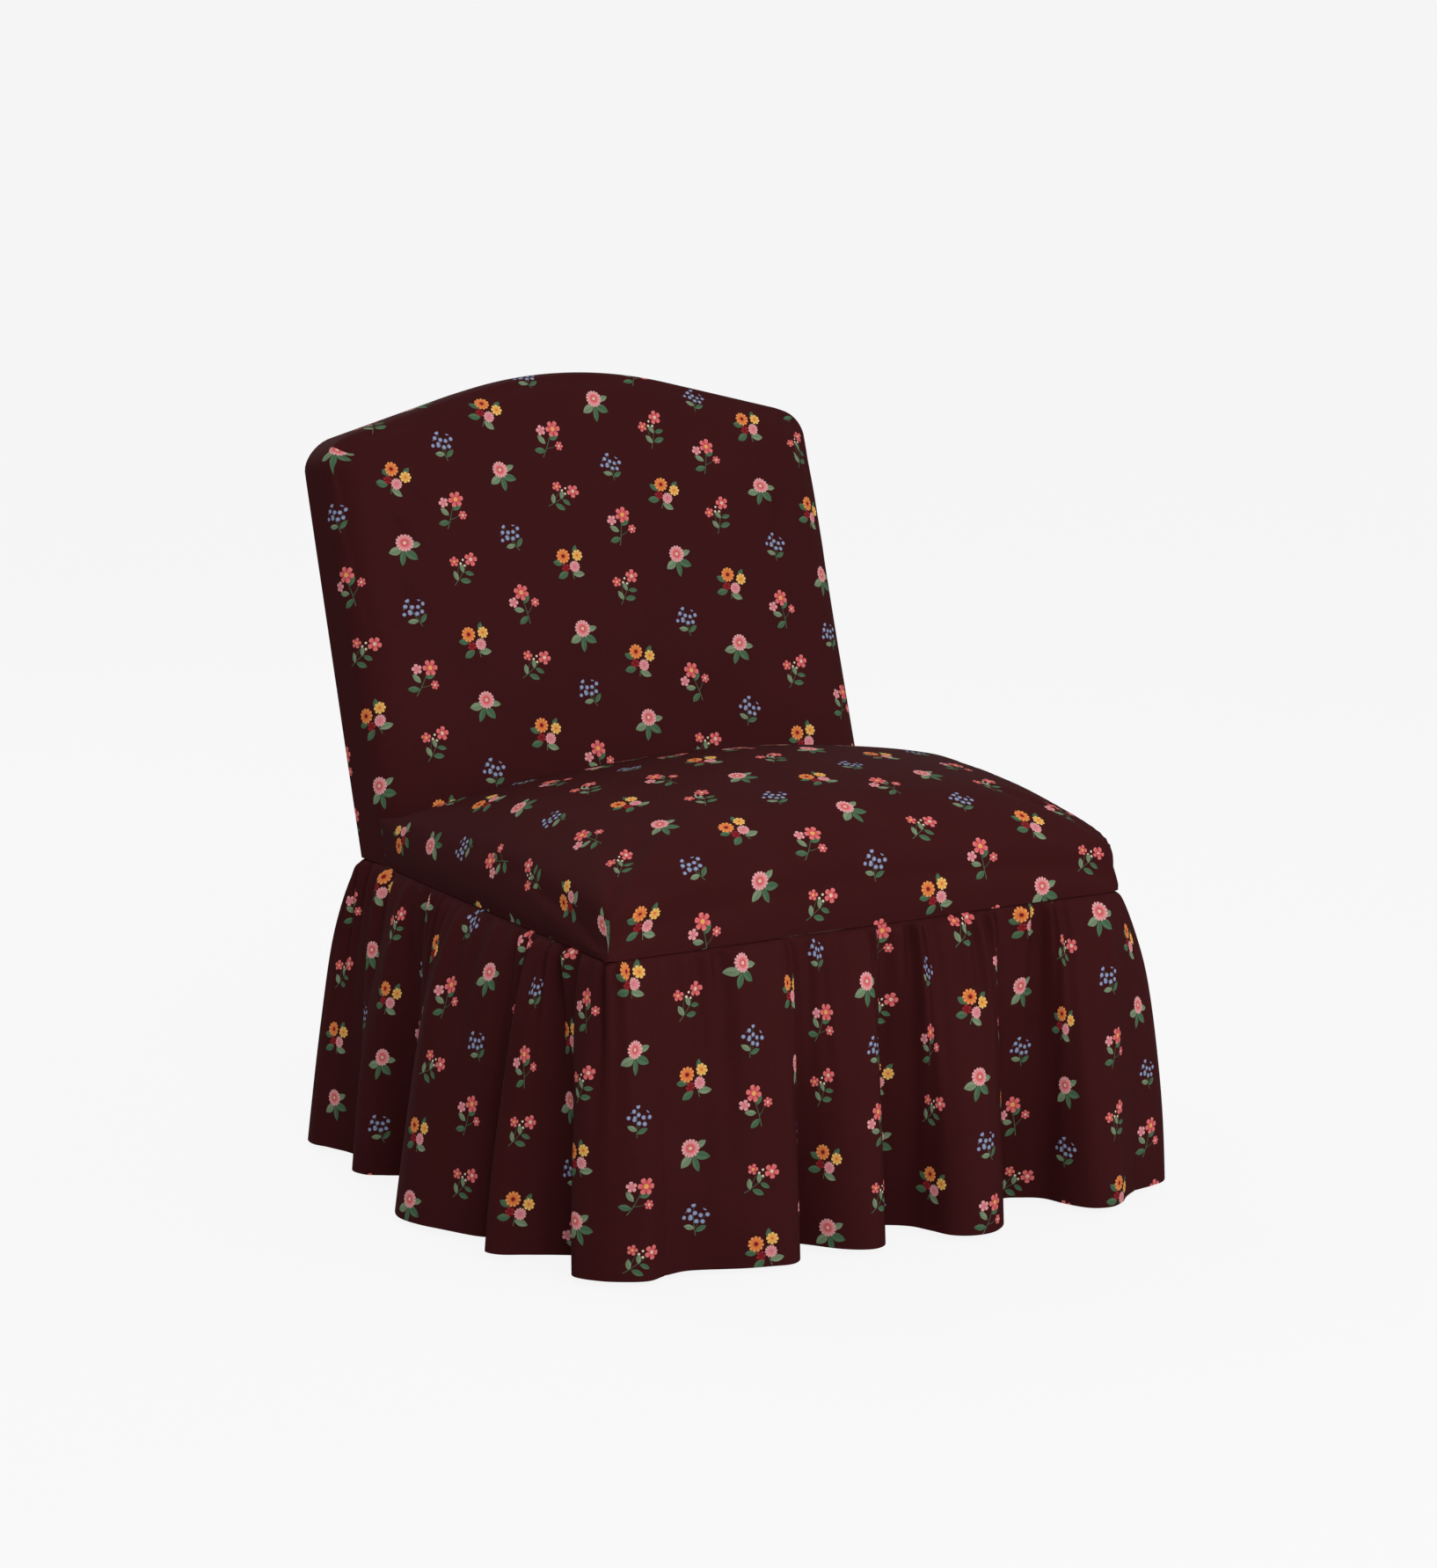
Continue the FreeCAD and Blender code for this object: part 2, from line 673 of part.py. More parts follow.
# Back padding and covers, from the frame outwards
batting_out = cover + gap
batting_in = batting_out + num("back_batting")
foam_in = batting_in + gap
frame_zone = to_back(back_slab(num("frame_inset") - gap, -FAR / 8,
                               num(heel) + gap, num("web_face") - gap))
behind_foam = to_back(back_slab(-FAR / 8, -FAR / 8, FAR / 8, num("foam_face")))
back_foam = back_form(foam_in).cut(behind_foam).cut(under_stay).cut(below_rails)
soft("back_foam", back_foam)
behind_frame = to_back(back_slab(-FAR / 8, -FAR / 8, FAR / 8, num(heel)))
padding_zone = to_back(back_slab(foam_in, -FAR / 8, 0, num("foam_face")))
batting = back_form(batting_out).cut(back_form(batting_in)).cut(frame_zone)
batting = batting.cut(behind_frame).cut(under_stay).cut(padding_zone).cut(below_rails)
soft("back_batting", batting)
panel_edge = num("back_panel_inset")
panel_hole = to_back(back_slab(panel_edge, -FAR / 8, gap, -cover - gap))
frame_reach = num("frame_half") + gap
round_rails = space((-frame_reach, frame_reach), (-FAR, FAR), (-FAR, rail_top + gap))
inside_cover = back_form(0).cut(back_form(cover)).cut(panel_hole).cut(under_stay)
soft("inside_back_cover", inside_cover.cut(below_seam).cut(round_rails))
outer_panel = to_back(back_slab(panel_edge + gap, -FAR / 8, 0, -cover))
soft("outside_back_cover", outer_panel.cut(below_seam))

# Layers behind the back frame: board, pad and the bars that hold the outer cloth
pad_rear = -cover - gap
pad_front = pad_rear - num("back_pad_thickness")
bar_half = num("frame_half")
bar_inside = bar_half - num("tack_bar_width")
board = to_back(back_slab(2 * num("frame_inset"), -FAR / 8,
                          num(heel) + num("board_thickness"), num(heel)))
soft("back_board", board.cut(below_rails))
pad_layer = back_slab(panel_edge + gap, -FAR / 8, pad_rear, pad_front)
middle = space((-bar_inside + gap, bar_inside - gap), (-FAR, FAR), (-FAR, FAR))
soft("outside_back_pad", to_back(pad_layer.common(middle)).cut(below_rails))
bars = []
bar_top = num("crest_rail_foot")
for side in (-1, 1):
    ends = sorted((side * bar_inside, side * (bar_half - panel_edge + num("frame_inset"))))
    bar = space(ends, (pad_front, pad_rear), (-FAR / 8, bar_top))
    bars.append(to_back(bar).cut(below_rails))
soft("back_tack_bars", Part.Compound(bars))

# Webbing across and up the back frame, with a lining over it
straps = []
web_reach = "inner_half + dowel_in_face"
web_count = int(num("web_count"))
for index in range(web_count):
    up = f"stay_rail_top + {index + 0.5}*(crest_rail_foot - stay_rail_top)/web_count"
    up += " - web_width/2"
    y, z = raked("web_face - web_thickness", up)
    straps.append(box(f"-({web_reach})", y, z, f"2*({web_reach})",
                      "web_thickness", "web_width", "rake"))
for index in range(web_count):
    y, z = raked("web_face - 2*web_thickness - fit_clearance",
                 "stay_rail_foot + fit_clearance")
    x = f"inner_half*({2 * index + 1}/web_count - 1)"
    straps.append(box(f"{x} - web_width/2", y, z, "web_width",
                      "web_thickness", "crest_rail_foot - stay_rail_foot + dowel_edge", "rake"))
node("back_webbing", group(straps))
lining_y, lining_z = raked("lining_face - lining_thickness", "stay_rail_foot + fit_clearance")
lining = box("-inner_half - dowel_in_face", lining_y, lining_z,
             "2*(inner_half + dowel_in_face)", "lining_thickness",
             "crest_rail_foot - stay_rail_foot + dowel_edge", "rake")
node("back_lining", lining)


def crown(share):
    """Share of the seat's crown at a share of the way from its middle to its edge."""
    fall = min(abs(share), 1)**num("crown_sharpness")
    return (1 - fall)**(1 / num("crown_fullness"))


def seat_form(inset, foot):
    """The domed seat: steep rounded sides and a broad crown, lofted front to back."""
    edge = num("seam_height + seat_side_height") - inset
    rise = num("seat_crown_rise")
    corner = num("seat_corner_radius") - inset
    half = num("seat_width/2") - inset
    front = num("seat_front") + inset
    middle = num("crown_centre_share*seat_depth")
    sections = []
    for share in (0, 0.015, 0.04, 0.1, 0.2, 0.34, 0.5, 0.66, 0.8, 0.92, 1.02, 1.1):
        y = 2 * middle * share
        least = num("crown_front_share" if share < 0.5 else "crown_back_share")
        lift = rise * max(crown(2 * share - 1), least)
        turned = max(corner - y, 0)
        wide = half - corner + sqrt(corner**2 - turned**2)
        spots = [(wide, edge)]
        spots += [(wide * u, edge + lift * crown(u)) for u in (0.95, 0.85, 0)]
        right, knee, shoulder, top = [V(x, front + y, z) for x, z in spots]
        foot_right = V(wide, front + y, foot)
        mirror = lambda spot: V(-spot.x, spot.y, spot.z)
        lines = [Part.LineSegment(mirror(foot_right), foot_right),
                 Part.LineSegment(foot_right, right),
                 Part.Arc(right, knee, shoulder),
                 Part.Arc(shoulder, top, mirror(shoulder)),
                 Part.Arc(mirror(shoulder), mirror(knee), mirror(right)),
                 Part.LineSegment(mirror(right), mirror(foot_right))]
        sections.append(Part.Wire([line.toShape() for line in lines]))
    return Part.makeLoft(sections, True, False)


# Seat padding and cover, trimmed where the back stands
back_room = back_form(-gap)
deck_tool = Part.makeCylinder(num("deck_radius + deck_thickness") + gap, 2 * FAR,
                              V(-FAR, num("spring_middle"), num("arch_centre")), V(1, 0, 0))
deck_span = num(f"({deck_width})/2") + gap
deck_tool = deck_tool.common(space((-deck_span, deck_span), (-FAR, FAR), (0, FAR)))
roll_tool = Part.makeCylinder(num("edge_roll_diameter/2") + gap, 2 * deck_span,
                              V(-deck_span, num("frame_front + edge_roll_diameter"),
                                num("roll_height")), V(1, 0, 0))
seat_batting_out = cover + gap
seat_batting_in = seat_batting_out + num("seat_batting")
foam = seat_form(seat_batting_in + gap, rail_top + gap)
soft("seat_foam", foam.cut(back_room).cut(deck_tool).cut(roll_tool))
batting = seat_form(seat_batting_out, rail_top + gap).cut(seat_form(seat_batting_in, 0))
soft("seat_batting", batting.cut(back_room))
frame_room = space((-num("frame_half"), num("frame_half")),
                   (num("frame_front"), FAR), (0, seam + 2 * cover))
seat_cover = seat_form(0, seam).cut(seat_form(cover, seam + cover))
soft("seat_cover", seat_cover.cut(frame_room).cut(back_room))


def skirt_spot(side, share, offset, z):
    """A place on the skirt: along one of its four sides or round one of its corners."""
    radius = num("header_corner")
    half = num("header_half") - radius
    reach = num("header_half - seat_width/2")
    front = num("seat_front") - reach + radius
    back = num("back_foot") + reach - radius
    centres = [V(-half, front, z), V(half, front, z), V(half, back, z), V(-half, back, z)]
    angle = radians(90 * (side // 2) - 90)
    centre = centres[(side // 2) % 4]
    if side % 2 == 0:
        angle += radians(90) * (share - 1)
        return centre + V(cos(angle), sin(angle), 0) * (radius + offset)
    out = V(cos(angle), sin(angle), 0) * (radius + offset)
    return centre + (centres[(side // 2 + 1) % 4] - centre) * share + out


def half_waves(side):
    """Shares of one side or corner where each fold's half wave starts and ends."""
    if side % 2 == 0:
        return [(0, 1, num("corner_fold_share"))]
    folds = int(num("front_folds" if side in (1, 5) else "side_folds"))
    spread = num("fold_width_spread")
    widths = [1 + spread * sin(2.4 * index + side) for index in range(2 * folds + 1)]
    total = sum(widths)
    waves = []
    start = 0
    for index, width in enumerate(widths):
        depth = 1 - num("fold_depth_spread") * abs(sin(1.7 * (index - 3)))
        waves.append((start / total, (start + width) / total,
                      depth if index % 2 else -depth))
        start += width
    return waves


def skirt_edge(sides, fall, inward):
    """One level of a skirt panel: arcs through its folds, at a share of its height."""
    height = num("header_top - hem_height")
    z = num("header_top") - fall * height
    flare = num("hem_flare") * fall**num("flare_power") - inward
    gather = num("header_gather")
    depth = gather + (num("fold_depth") - gather) * fall**num("fold_power")
    arcs = []
    for side in sides:
        for start, end, way in half_waves(side):
            middle = (start + end) / 2
            arcs.append(Part.Arc(skirt_spot(side, start, flare, z),
                                 skirt_spot(side, middle, flare + way * depth, z),
                                 skirt_spot(side, end, flare, z)))
    return arcs


def skirt_panel(sides):
    """A wall of gathered cloth, lofted from its header down to its hem."""
    sections = []
    for fall in (0, 0.05, 0.12, 0.22, 0.36, 0.52, 0.7, 0.85, 1):
        outer = skirt_edge(sides, fall, 0)
        inner = skirt_edge(sides, fall, num("skirt_thickness"))
        edges = [arc.toShape() for arc in outer]
        edges.append(Part.LineSegment(outer[-1].EndPoint, inner[-1].EndPoint).toShape())
        edges += [arc.toShape() for arc in reversed(inner)]
        edges.append(Part.LineSegment(inner[0].StartPoint, outer[0].StartPoint).toShape())
        sections.append(Part.Wire(edges))
    return Part.makeLoft(sections, True, False)


# Sides 1, 3, 5 and 7 are the front, right, back and left; 2, 4, 6 and 8 the corners
soft("skirt_front", skirt_panel((1,)))
soft("skirt_right", skirt_panel((2, 3, 4)))
soft("skirt_back", skirt_panel((5,)))
soft("skirt_left", skirt_panel((6, 7, 8)))

# Card strips that the skirt's header is tacked over, one along each rail
strip_z = "header_top - tack_strip_height"
strip_in = "header_corner"
across = f"2*(frame_half - {strip_in})"
along = f"frame_back - frame_front - 2*{strip_in}"
strips = [
    box(f"-frame_half + {strip_in}", "frame_front - tack_strip_thickness", strip_z,
        across, "tack_strip_thickness", "tack_strip_height"),
    box(f"-frame_half + {strip_in}", "frame_back", strip_z,
        across, "tack_strip_thickness", "tack_strip_height"),
    box("-frame_half - tack_strip_thickness", f"frame_front + {strip_in}", strip_z,
        "tack_strip_thickness", along, "tack_strip_height"),
    box("frame_half", f"frame_front + {strip_in}", strip_z,
        "tack_strip_thickness", along, "tack_strip_height"),
]
node("skirt_tack_strips", group(strips))

# Dust cover under the rails, cut away round the legs, and its staples
dust_z = "rail_bottom - dust_cover_thickness"
dust_half = "frame_half - dust_cover_inset"
dust_front = "frame_front + dust_cover_inset"
dust_depth = "frame_back - frame_front - 2*dust_cover_inset"
dust = box(f"-({dust_half})", dust_front, dust_z, f"2*({dust_half})", dust_depth,
           "dust_cover_thickness")
leg_rooms = []
for side, end in CORNERS.values():
    leg_x, leg_y = inside_corner(side, end, "leg_offset", "leg_offset")
    room = "leg_top_width + 4*cloth_gap"
    leg_rooms.append(box(f"{leg_x} - ({room})/2", f"{leg_y} - ({room})/2", dust_z,
                         room, room, "dust_cover_thickness"))
node("dust_cover", cut(dust, leg_rooms))
staples = []
staple_z = f"{dust_z} - staple_wire"
for share in (-0.6, -0.36, -0.12, 0.12, 0.36, 0.6):
    x = f"{share}*frame_half - staple_width/2"
    for y in (f"{dust_front} + dust_cover_inset", "frame_back - 2*dust_cover_inset"):
        staples.append(box(x, y, staple_z, "staple_width", "staple_wire", "staple_wire"))
    y = f"(frame_front + frame_back)/2 + {share}*(frame_back - frame_front)/2 - staple_width/2"
    for x in ("-frame_half + 2*dust_cover_inset", "frame_half - 2*dust_cover_inset"):
        staples.append(box(x, y, staple_z, "staple_wire", "staple_width", "staple_wire"))
node("dust_cover_staples", group(staples))

# Check every object, then write each sub-part to its own file
doc.recompute()
for piece in doc.Objects:
    if "Invalid" in piece.State or "Error" in piece.State:
        raise RuntimeError(f"{piece.Name} could not be built")
os.makedirs("parts", exist_ok=True)
for piece in NODES:
    if piece.Shape.isNull() or not piece.Shape.isValid() or not piece.Shape.Solids:
        raise RuntimeError(f"{piece.Label} is not a valid solid")
for piece in NODES:
    piece.Shape.exportStep(f"parts/{piece.Label}.step")
    print(piece.Label, len(piece.Shape.Solids), round(piece.Shape.Volume))
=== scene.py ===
from bisect import bisect_right
from math import atan2, cos, exp, hypot, pi, radians, sin, sqrt
import bmesh
import bpy
from mathutils import Matrix, Vector, noise
from mathutils.bvhtree import BVHTree


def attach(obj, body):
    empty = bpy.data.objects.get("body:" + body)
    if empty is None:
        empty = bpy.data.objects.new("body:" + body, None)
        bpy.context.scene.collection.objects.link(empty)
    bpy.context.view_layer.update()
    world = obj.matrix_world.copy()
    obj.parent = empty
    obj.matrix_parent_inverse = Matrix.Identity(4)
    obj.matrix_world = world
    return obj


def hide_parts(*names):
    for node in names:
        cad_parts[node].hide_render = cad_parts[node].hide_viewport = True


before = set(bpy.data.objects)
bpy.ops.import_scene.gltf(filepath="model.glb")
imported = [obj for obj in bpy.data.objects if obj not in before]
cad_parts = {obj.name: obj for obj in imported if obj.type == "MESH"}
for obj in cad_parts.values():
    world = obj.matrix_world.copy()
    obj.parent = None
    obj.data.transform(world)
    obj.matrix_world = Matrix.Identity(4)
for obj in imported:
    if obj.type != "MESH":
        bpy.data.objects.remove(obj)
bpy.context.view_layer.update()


# Camera at the photograph's viewing angle.
# A long lens stands at seated eye height, ahead and to the left of the chair.
scene = bpy.context.scene
camera = bpy.data.objects.new("camera", bpy.data.cameras.new("camera"))
camera.data.lens = 90.14
camera.data.sensor_width = 36
camera.data.clip_end = 3000
camera.location = (-2.1823, -3.7129, 1.3084)
view = Vector((0.4976, 0.8444, -0.1985))
camera.rotation_euler = view.to_track_quat("-Z", "Y").to_euler()
scene.collection.objects.link(camera)
scene.camera = camera
scene.view_settings.view_transform = "Standard"


# Studio floor and sky.
# A wide pale floor that keeps the chair's soft shadow and runs out of sight, so it is
# the backdrop too. The camera sees it lighter than it is, which adds no light to the chair.
class Wire:
    """A shader socket that arithmetic works on: each operation is a Math node."""

    def __init__(self, socket):
        self.socket = socket

    def __add__(self, other):
        return math("ADD", self, other)

    def __sub__(self, other):
        return math("SUBTRACT", self, other)

    def __rsub__(self, other):
        return math("SUBTRACT", other, self)

    def __mul__(self, other):
        return math("MULTIPLY", self, other)

    def __truediv__(self, other):
        return math("DIVIDE", self, other)

    def __mod__(self, other):
        return math("FLOORED_MODULO", self, other)

    def __gt__(self, other):
        return math("GREATER_THAN", self, other)

    def __lt__(self, other):
        return math("LESS_THAN", self, other)

    def __abs__(self):
        return math("ABSOLUTE", self)


def feed(spot, value):
    """Give a shader input a wire, a socket, a number, a vector or a colour."""
    if isinstance(value, Wire):
        value = value.socket
    if isinstance(value, bpy.types.NodeSocket):
        spot.id_data.links.new(value, spot)
    else:
        spot.default_value = (*value, 1) if spot.type == "RGBA" else value


def node_of(tree, kind, **settings):
    """A shader node with its settings; those that start with in_ feed its inputs."""
    made = tree.nodes.new("ShaderNode" + kind)
    for name, value in settings.items():
        if name.startswith("in_"):
            key = name[3:]
            feed(made.inputs[int(key) if key.isdigit() else key.replace("_", " ")], value)
        else:
            setattr(made, name, value)
    return made


def tree_of(values):
    """The node tree that the wires among some values are in."""
    return next(value.socket.id_data for value in values if isinstance(value, Wire))


def math(operation, *values, clamp=False):
    """A Math node over wires and plain numbers."""
    made = node_of(tree_of(values), "Math", operation=operation, use_clamp=clamp)
    for spot, value in zip(made.inputs, values):
        feed(spot, value)
    return Wire(made.outputs[0])


def light_for_camera(tree, share, plain, shown, end):
    """One shader for light, with a share of another over it where the camera looks."""
    rays = Wire(node_of(tree, "LightPath").outputs["Is Camera Ray"])
    mixed = node_of(tree, "MixShader", in_0=rays * share, in_1=plain.outputs[0],
                    in_2=shown.outputs[0])
    node_of(tree, end, in_0=mixed.outputs[0])


FLOOR_REACH = 900
floor_paint = bpy.data.materials.new("floor_paint")
floor_paint.use_nodes = True
tree = floor_paint.node_tree
tree.nodes.clear()
light_for_camera(tree, 0.89, node_of(tree, "BsdfDiffuse", in_Color=(0.45, 0.45, 0.45)),
                 node_of(tree, "Emission", in_Color=(1.0, 1.0, 1.0)), "OutputMaterial")
ground = bmesh.new()
bmesh.ops.create_grid(ground, x_segments=2, y_segments=2, size=FLOOR_REACH)
floor = bpy.data.objects.new("studio_floor", bpy.data.meshes.new("studio_floor"))
ground.to_mesh(floor.data)
ground.free()
floor.data.materials.append(floor_paint)
scene.collection.objects.link(floor)

sky = bpy.data.worlds.new("studio_sky")
scene.world = sky
sky.use_nodes = True
tree = sky.node_tree
tree.nodes.clear()
light_for_camera(
    tree, 1.0, node_of(tree, "Background", in_Color=(1.0, 1.0, 1.0), in_Strength=0.52),
    node_of(tree, "Background", in_Color=(0.965, 0.965, 0.965), in_Strength=1.0), "OutputWorld")

for name, place, size, watts in (("window_lamp", (-1.1, -3.4, 2.5), 2.2, 84),
                                 ("fill_lamp", (2.5, -2.9, 1.8), 2.4, 44),
                                 ("rim_lamp", (-0.6, 2.4, 2.6), 2.0, 34)):
    lamp = bpy.data.objects.new(name, bpy.data.lights.new(name, "AREA"))
    lamp.data.shape = "SQUARE"
    lamp.data.size = size
    lamp.data.energy = watts
    lamp.location = place
    toward = Vector((0, 0, 0.4)) - Vector(place)
    lamp.rotation_euler = toward.to_track_quat("-Z", "Y").to_euler()
    scene.collection.objects.link(lamp)


# Seat rails, brace, posts, blocks and dowels.
# Sawn hardwood, drilled for dowels and glued up, with screwed blocks in the corners.
def blend_colour(share, under, over):
    """One colour over another by a share, each a wire or a plain colour."""
    made = node_of(tree_of((share, under, over)), "Mix", data_type="RGBA", in_0=share,
                   in_6=under, in_7=over)
    return Wire(made.outputs[2])


def effect_group(name, outputs, **inputs):
    """A node group: its tree, a wire from each input, and its output sockets."""
    group = bpy.data.node_groups.new(name, "ShaderNodeTree")
    for label, value in inputs.items():
        kind = {type(None): "Vector", tuple: "Color", float: "Float"}[type(value)]
        socket = group.interface.new_socket(label.replace("_", " "), in_out="INPUT",
                                            socket_type="NodeSocket" + kind)
        if value is not None:
            socket.default_value = (*value, 1) if kind == "Color" else value
    for label in outputs:
        kind = "Color" if label == "Color" else "Float"
        group.interface.new_socket(label, in_out="OUTPUT", socket_type="NodeSocket" + kind)
    start = group.nodes.new("NodeGroupInput")
    end = group.nodes.new("NodeGroupOutput")
    return group, [Wire(socket) for socket in start.outputs[:len(inputs)]], end.inputs


def place_group(tree, group, **values):
    """A node group in a material, with its own values or wires; gives its outputs."""
    made = node_of(tree, "Group", node_tree=group,
                   **{"in_" + label: value for label, value in values.items()})
    return {socket.name: Wire(socket) for socket in made.outputs}


def paint(shader, **values):
    """Feed a shader's inputs."""
    for label, value in values.items():
        feed(shader.inputs[label.replace("_", " ")], value)


def new_finish(name, **fixed):
    """A material with a Principled shader, its fixed sockets set on the shader itself."""
    made = bpy.data.materials.new(name)
    made.use_nodes = True
    shader = made.node_tree.nodes["Principled BSDF"]
    paint(shader, **fixed)
    return made, made.node_tree, shader


def bump(shader, height, strength, distance):
    """Relief on a shader's normal."""
    made = node_of(shader.id_data, "Bump", in_Strength=strength, in_Distance=distance,
                   in_Height=height)
    paint(shader, Normal=made.outputs[0])


def object_place(tree):
    """The object's own coordinates, in metres."""
    return node_of(tree, "TexCoord").outputs["Object"]


def mapped(tree, vector, **settings):
    """A vector moved, turned or stretched."""
    return node_of(tree, "Mapping", in_Vector=vector, **settings).outputs[0]


def clouds(tree, vector, scale, detail, distortion=0.0):
    """Soft noise of one scale."""
    made = node_of(tree, "TexNoise", in_Vector=vector, in_Scale=scale, in_Detail=detail,
                   in_Distortion=distortion)
    return Wire(made.outputs["Fac"])


timber_grain, (place, light, dark, ring_scale), grain_out = effect_group(
    "timber_grain", ("Color", "Roughness", "Height"), Vector=None, Light=(0.6, 0.44, 0.27),
    Dark=(0.36, 0.23, 0.12), Ring_Scale=28.0)
ring_wave = math("SINE", clouds(timber_grain, place, ring_scale, 3.0, 0.6) * 55.0)
ring_share = math("MULTIPLY_ADD", ring_wave, 0.3, 0.4)
grain = ring_share + clouds(timber_grain, place, 420.0, 2.0) * 0.25
feed(grain_out["Color"], blend_colour(grain, light, dark))
feed(grain_out["Roughness"], grain * 0.2 + 0.45)
feed(grain_out["Height"], grain)


def timber(name, light, dark, stretch, ring_scale=24.0, coat=0.0):
    """Wood whose grain runs along the axis that is stretched least."""
    made, tree, shader = new_finish(name, Coat_Weight=coat, Coat_Roughness=0.3)
    along = mapped(tree, object_place(tree), in_Scale=stretch)
    wood = place_group(tree, timber_grain, Vector=along, Light=light, Dark=dark,
                       Ring_Scale=ring_scale)
    paint(shader, Base_Color=wood["Color"], Roughness=wood["Roughness"])
    bump(shader, wood["Height"], 0.25, 0.0004)
    return made


def finish_nodes(finish, *names):
    """Give CAD nodes that stay in view their material."""
    for name in names:
        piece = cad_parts[name]
        piece.data.materials.clear()
        piece.data.materials.append(finish)


BEECH = (0.58, 0.40, 0.24), (0.40, 0.25, 0.13)
finish_nodes(timber("beech_across", *BEECH, (0.15, 1.0, 1.0)),
             "front_rail", "back_rail", "stay_rail", "rail_dowels")
finish_nodes(timber("beech_along", *BEECH, (1.0, 0.15, 1.0)),
             "left_rail", "right_rail", "seat_brace", "front_left_corner_block",
             "front_right_corner_block", "back_left_corner_block", "back_right_corner_block")
finish_nodes(timber("beech_upright", *BEECH, (1.0, 1.0, 0.15)),
             "left_back_post", "right_back_post")


# Crest rail.
# Birch plywood, bandsawn to the camel-top curve, so its edge shows the plies.
RAKE, PLIES = radians(16.7), 1800.0
plywood, tree, shader = new_finish("birch_plywood", Roughness=0.6)
turned = mapped(tree, object_place(tree), vector_type="POINT", in_Rotation=(RAKE, 0, 0))
layers = Wire(node_of(tree, "SeparateXYZ", in_0=turned).outputs["Y"])
ply = math("SINE", layers * PLIES)
face_grain = place_group(tree, timber_grain, Vector=turned, Light=(0.62, 0.47, 0.30),
                         Dark=(0.48, 0.33, 0.19), Ring_Scale=16.0)
paint(shader, Base_Color=blend_colour((ply > 0.0) * 0.35, face_grain["Color"],
                                      (0.33, 0.21, 0.12)))
finish_nodes(plywood, "crest_rail")


# Legs with their bolts, tee nuts and glides.
# Tapered hardwood legs stained dark; each hangs on a zinc bolt in its corner block and
# stands on a nail-on nylon glide.
finish_nodes(timber("stained_leg", (0.075, 0.042, 0.026), (0.03, 0.016, 0.01),
                    (1.0, 1.0, 0.12), 40.0, 0.35),
             "front_left_leg", "front_right_leg", "back_left_leg", "back_right_leg")


def metal(name, colour, rough, dull_share):
    """Plated or oiled steel with a faint mottle and fine scratches."""
    made, tree, shader = new_finish(name, Metallic=1.0)
    mottle = clouds(tree, object_place(tree), 90.0, 4.0)
    dull = mottle * dull_share
    paint(shader, Base_Color=blend_colour(dull, colour, tuple(0.45 * part for part in colour)),
          Roughness=dull + rough)
    bump(shader, mottle, 0.1, 0.0002)
    return made


zinc = metal("zinc_plate", (0.62, 0.62, 0.60), 0.3, 0.35)
finish_nodes(zinc, "corner_block_screws", "leg_bolts", "tee_nuts")
nylon, tree, shader = new_finish("moulded_nylon", Roughness=0.45)
orange_peel = clouds(tree, object_place(tree), 600.0, 2.0)
paint(shader, Base_Color=blend_colour(orange_peel, (0.05, 0.05, 0.05), (0.075, 0.075, 0.075)))
bump(shader, orange_peel, 0.2, 0.0002)
finish_nodes(nylon, "leg_glides")


# Springs, their clips and tie wires.
# Sinuous springs of oiled steel wire arch from the front rail to the back one, held at
# each end by a zinc clip and tied to each other by two wires.
finish_nodes(metal("oiled_wire", (0.20, 0.20, 0.21), 0.32, 0.3), "seat_springs",
             "spring_tie_wires")
finish_nodes(zinc, "spring_clips", "back_tack_bars")


# Deck cloth, back lining and webbing.
# Plain jute cloth laid over the springs and tacked to the rails, jute webbing laced
# across the back frame, and jute lining over the webbing.
weave, (place, pitch, slub_share), weave_out = effect_group(
    "weave", ("Height", "Shade"), Vector=None, Thread_Pitch=0.0011, Slub=0.5)
threads = node_of(weave, "SeparateXYZ", in_0=place)
across, along = [math("SINE", Wire(way) / pitch * (2 * pi)) for way in threads.outputs[:2]]
over_under = across * along
warp_slubs, weft_slubs = [clouds(weave, mapped(weave, place, in_Scale=stretch), 1.0, 2.0)
                          for stretch in ((900.0, 45.0, 60.0), (45.0, 900.0, 60.0))]
thread_height = over_under * 0.35 + (warp_slubs + weft_slubs) * slub_share
feed(weave_out["Height"], thread_height)
# The Shade output is painted shade: darker where a thread dips under its neighbour, mixed with
# the slubs' own tone.
feed(weave_out["Shade"], thread_height - slub_share)


def plain_cloth(name, light, dark, pitch, relief, turn=(0, 0, 0)):
    """An unprinted cloth on Object coordinates, its threads turned to lie in its face."""
    made, tree, shader = new_finish(name, Roughness=0.9, Sheen_Weight=0.2)
    flat = mapped(tree, object_place(tree), in_Rotation=turn)
    cloth = place_group(tree, weave, Vector=flat, Thread_Pitch=pitch, Slub=0.5)
    # Painted shade between the threads, from the weave's Shade, mixed with the slubs' own light
    # and dark tone.
    share = math("MULTIPLY_ADD", cloth["Shade"], 0.8, 0.5)
    paint(shader, Base_Color=blend_colour(share, dark, light))
    bump(shader, cloth["Height"], 0.6, relief)
    return made


UPRIGHT = (radians(90), 0, 0)
JUTE = (0.52, 0.40, 0.25), (0.33, 0.24, 0.13), 0.0024, 0.0006
finish_nodes(plain_cloth("jute_deck", *JUTE), "deck_cloth")
finish_nodes(plain_cloth("jute_lining", *JUTE, UPRIGHT), "back_lining")
finish_nodes(plain_cloth("jute_webbing", (0.46, 0.34, 0.19), (0.24, 0.16, 0.08), 0.0036, 0.001,
                         UPRIGHT), "back_webbing")


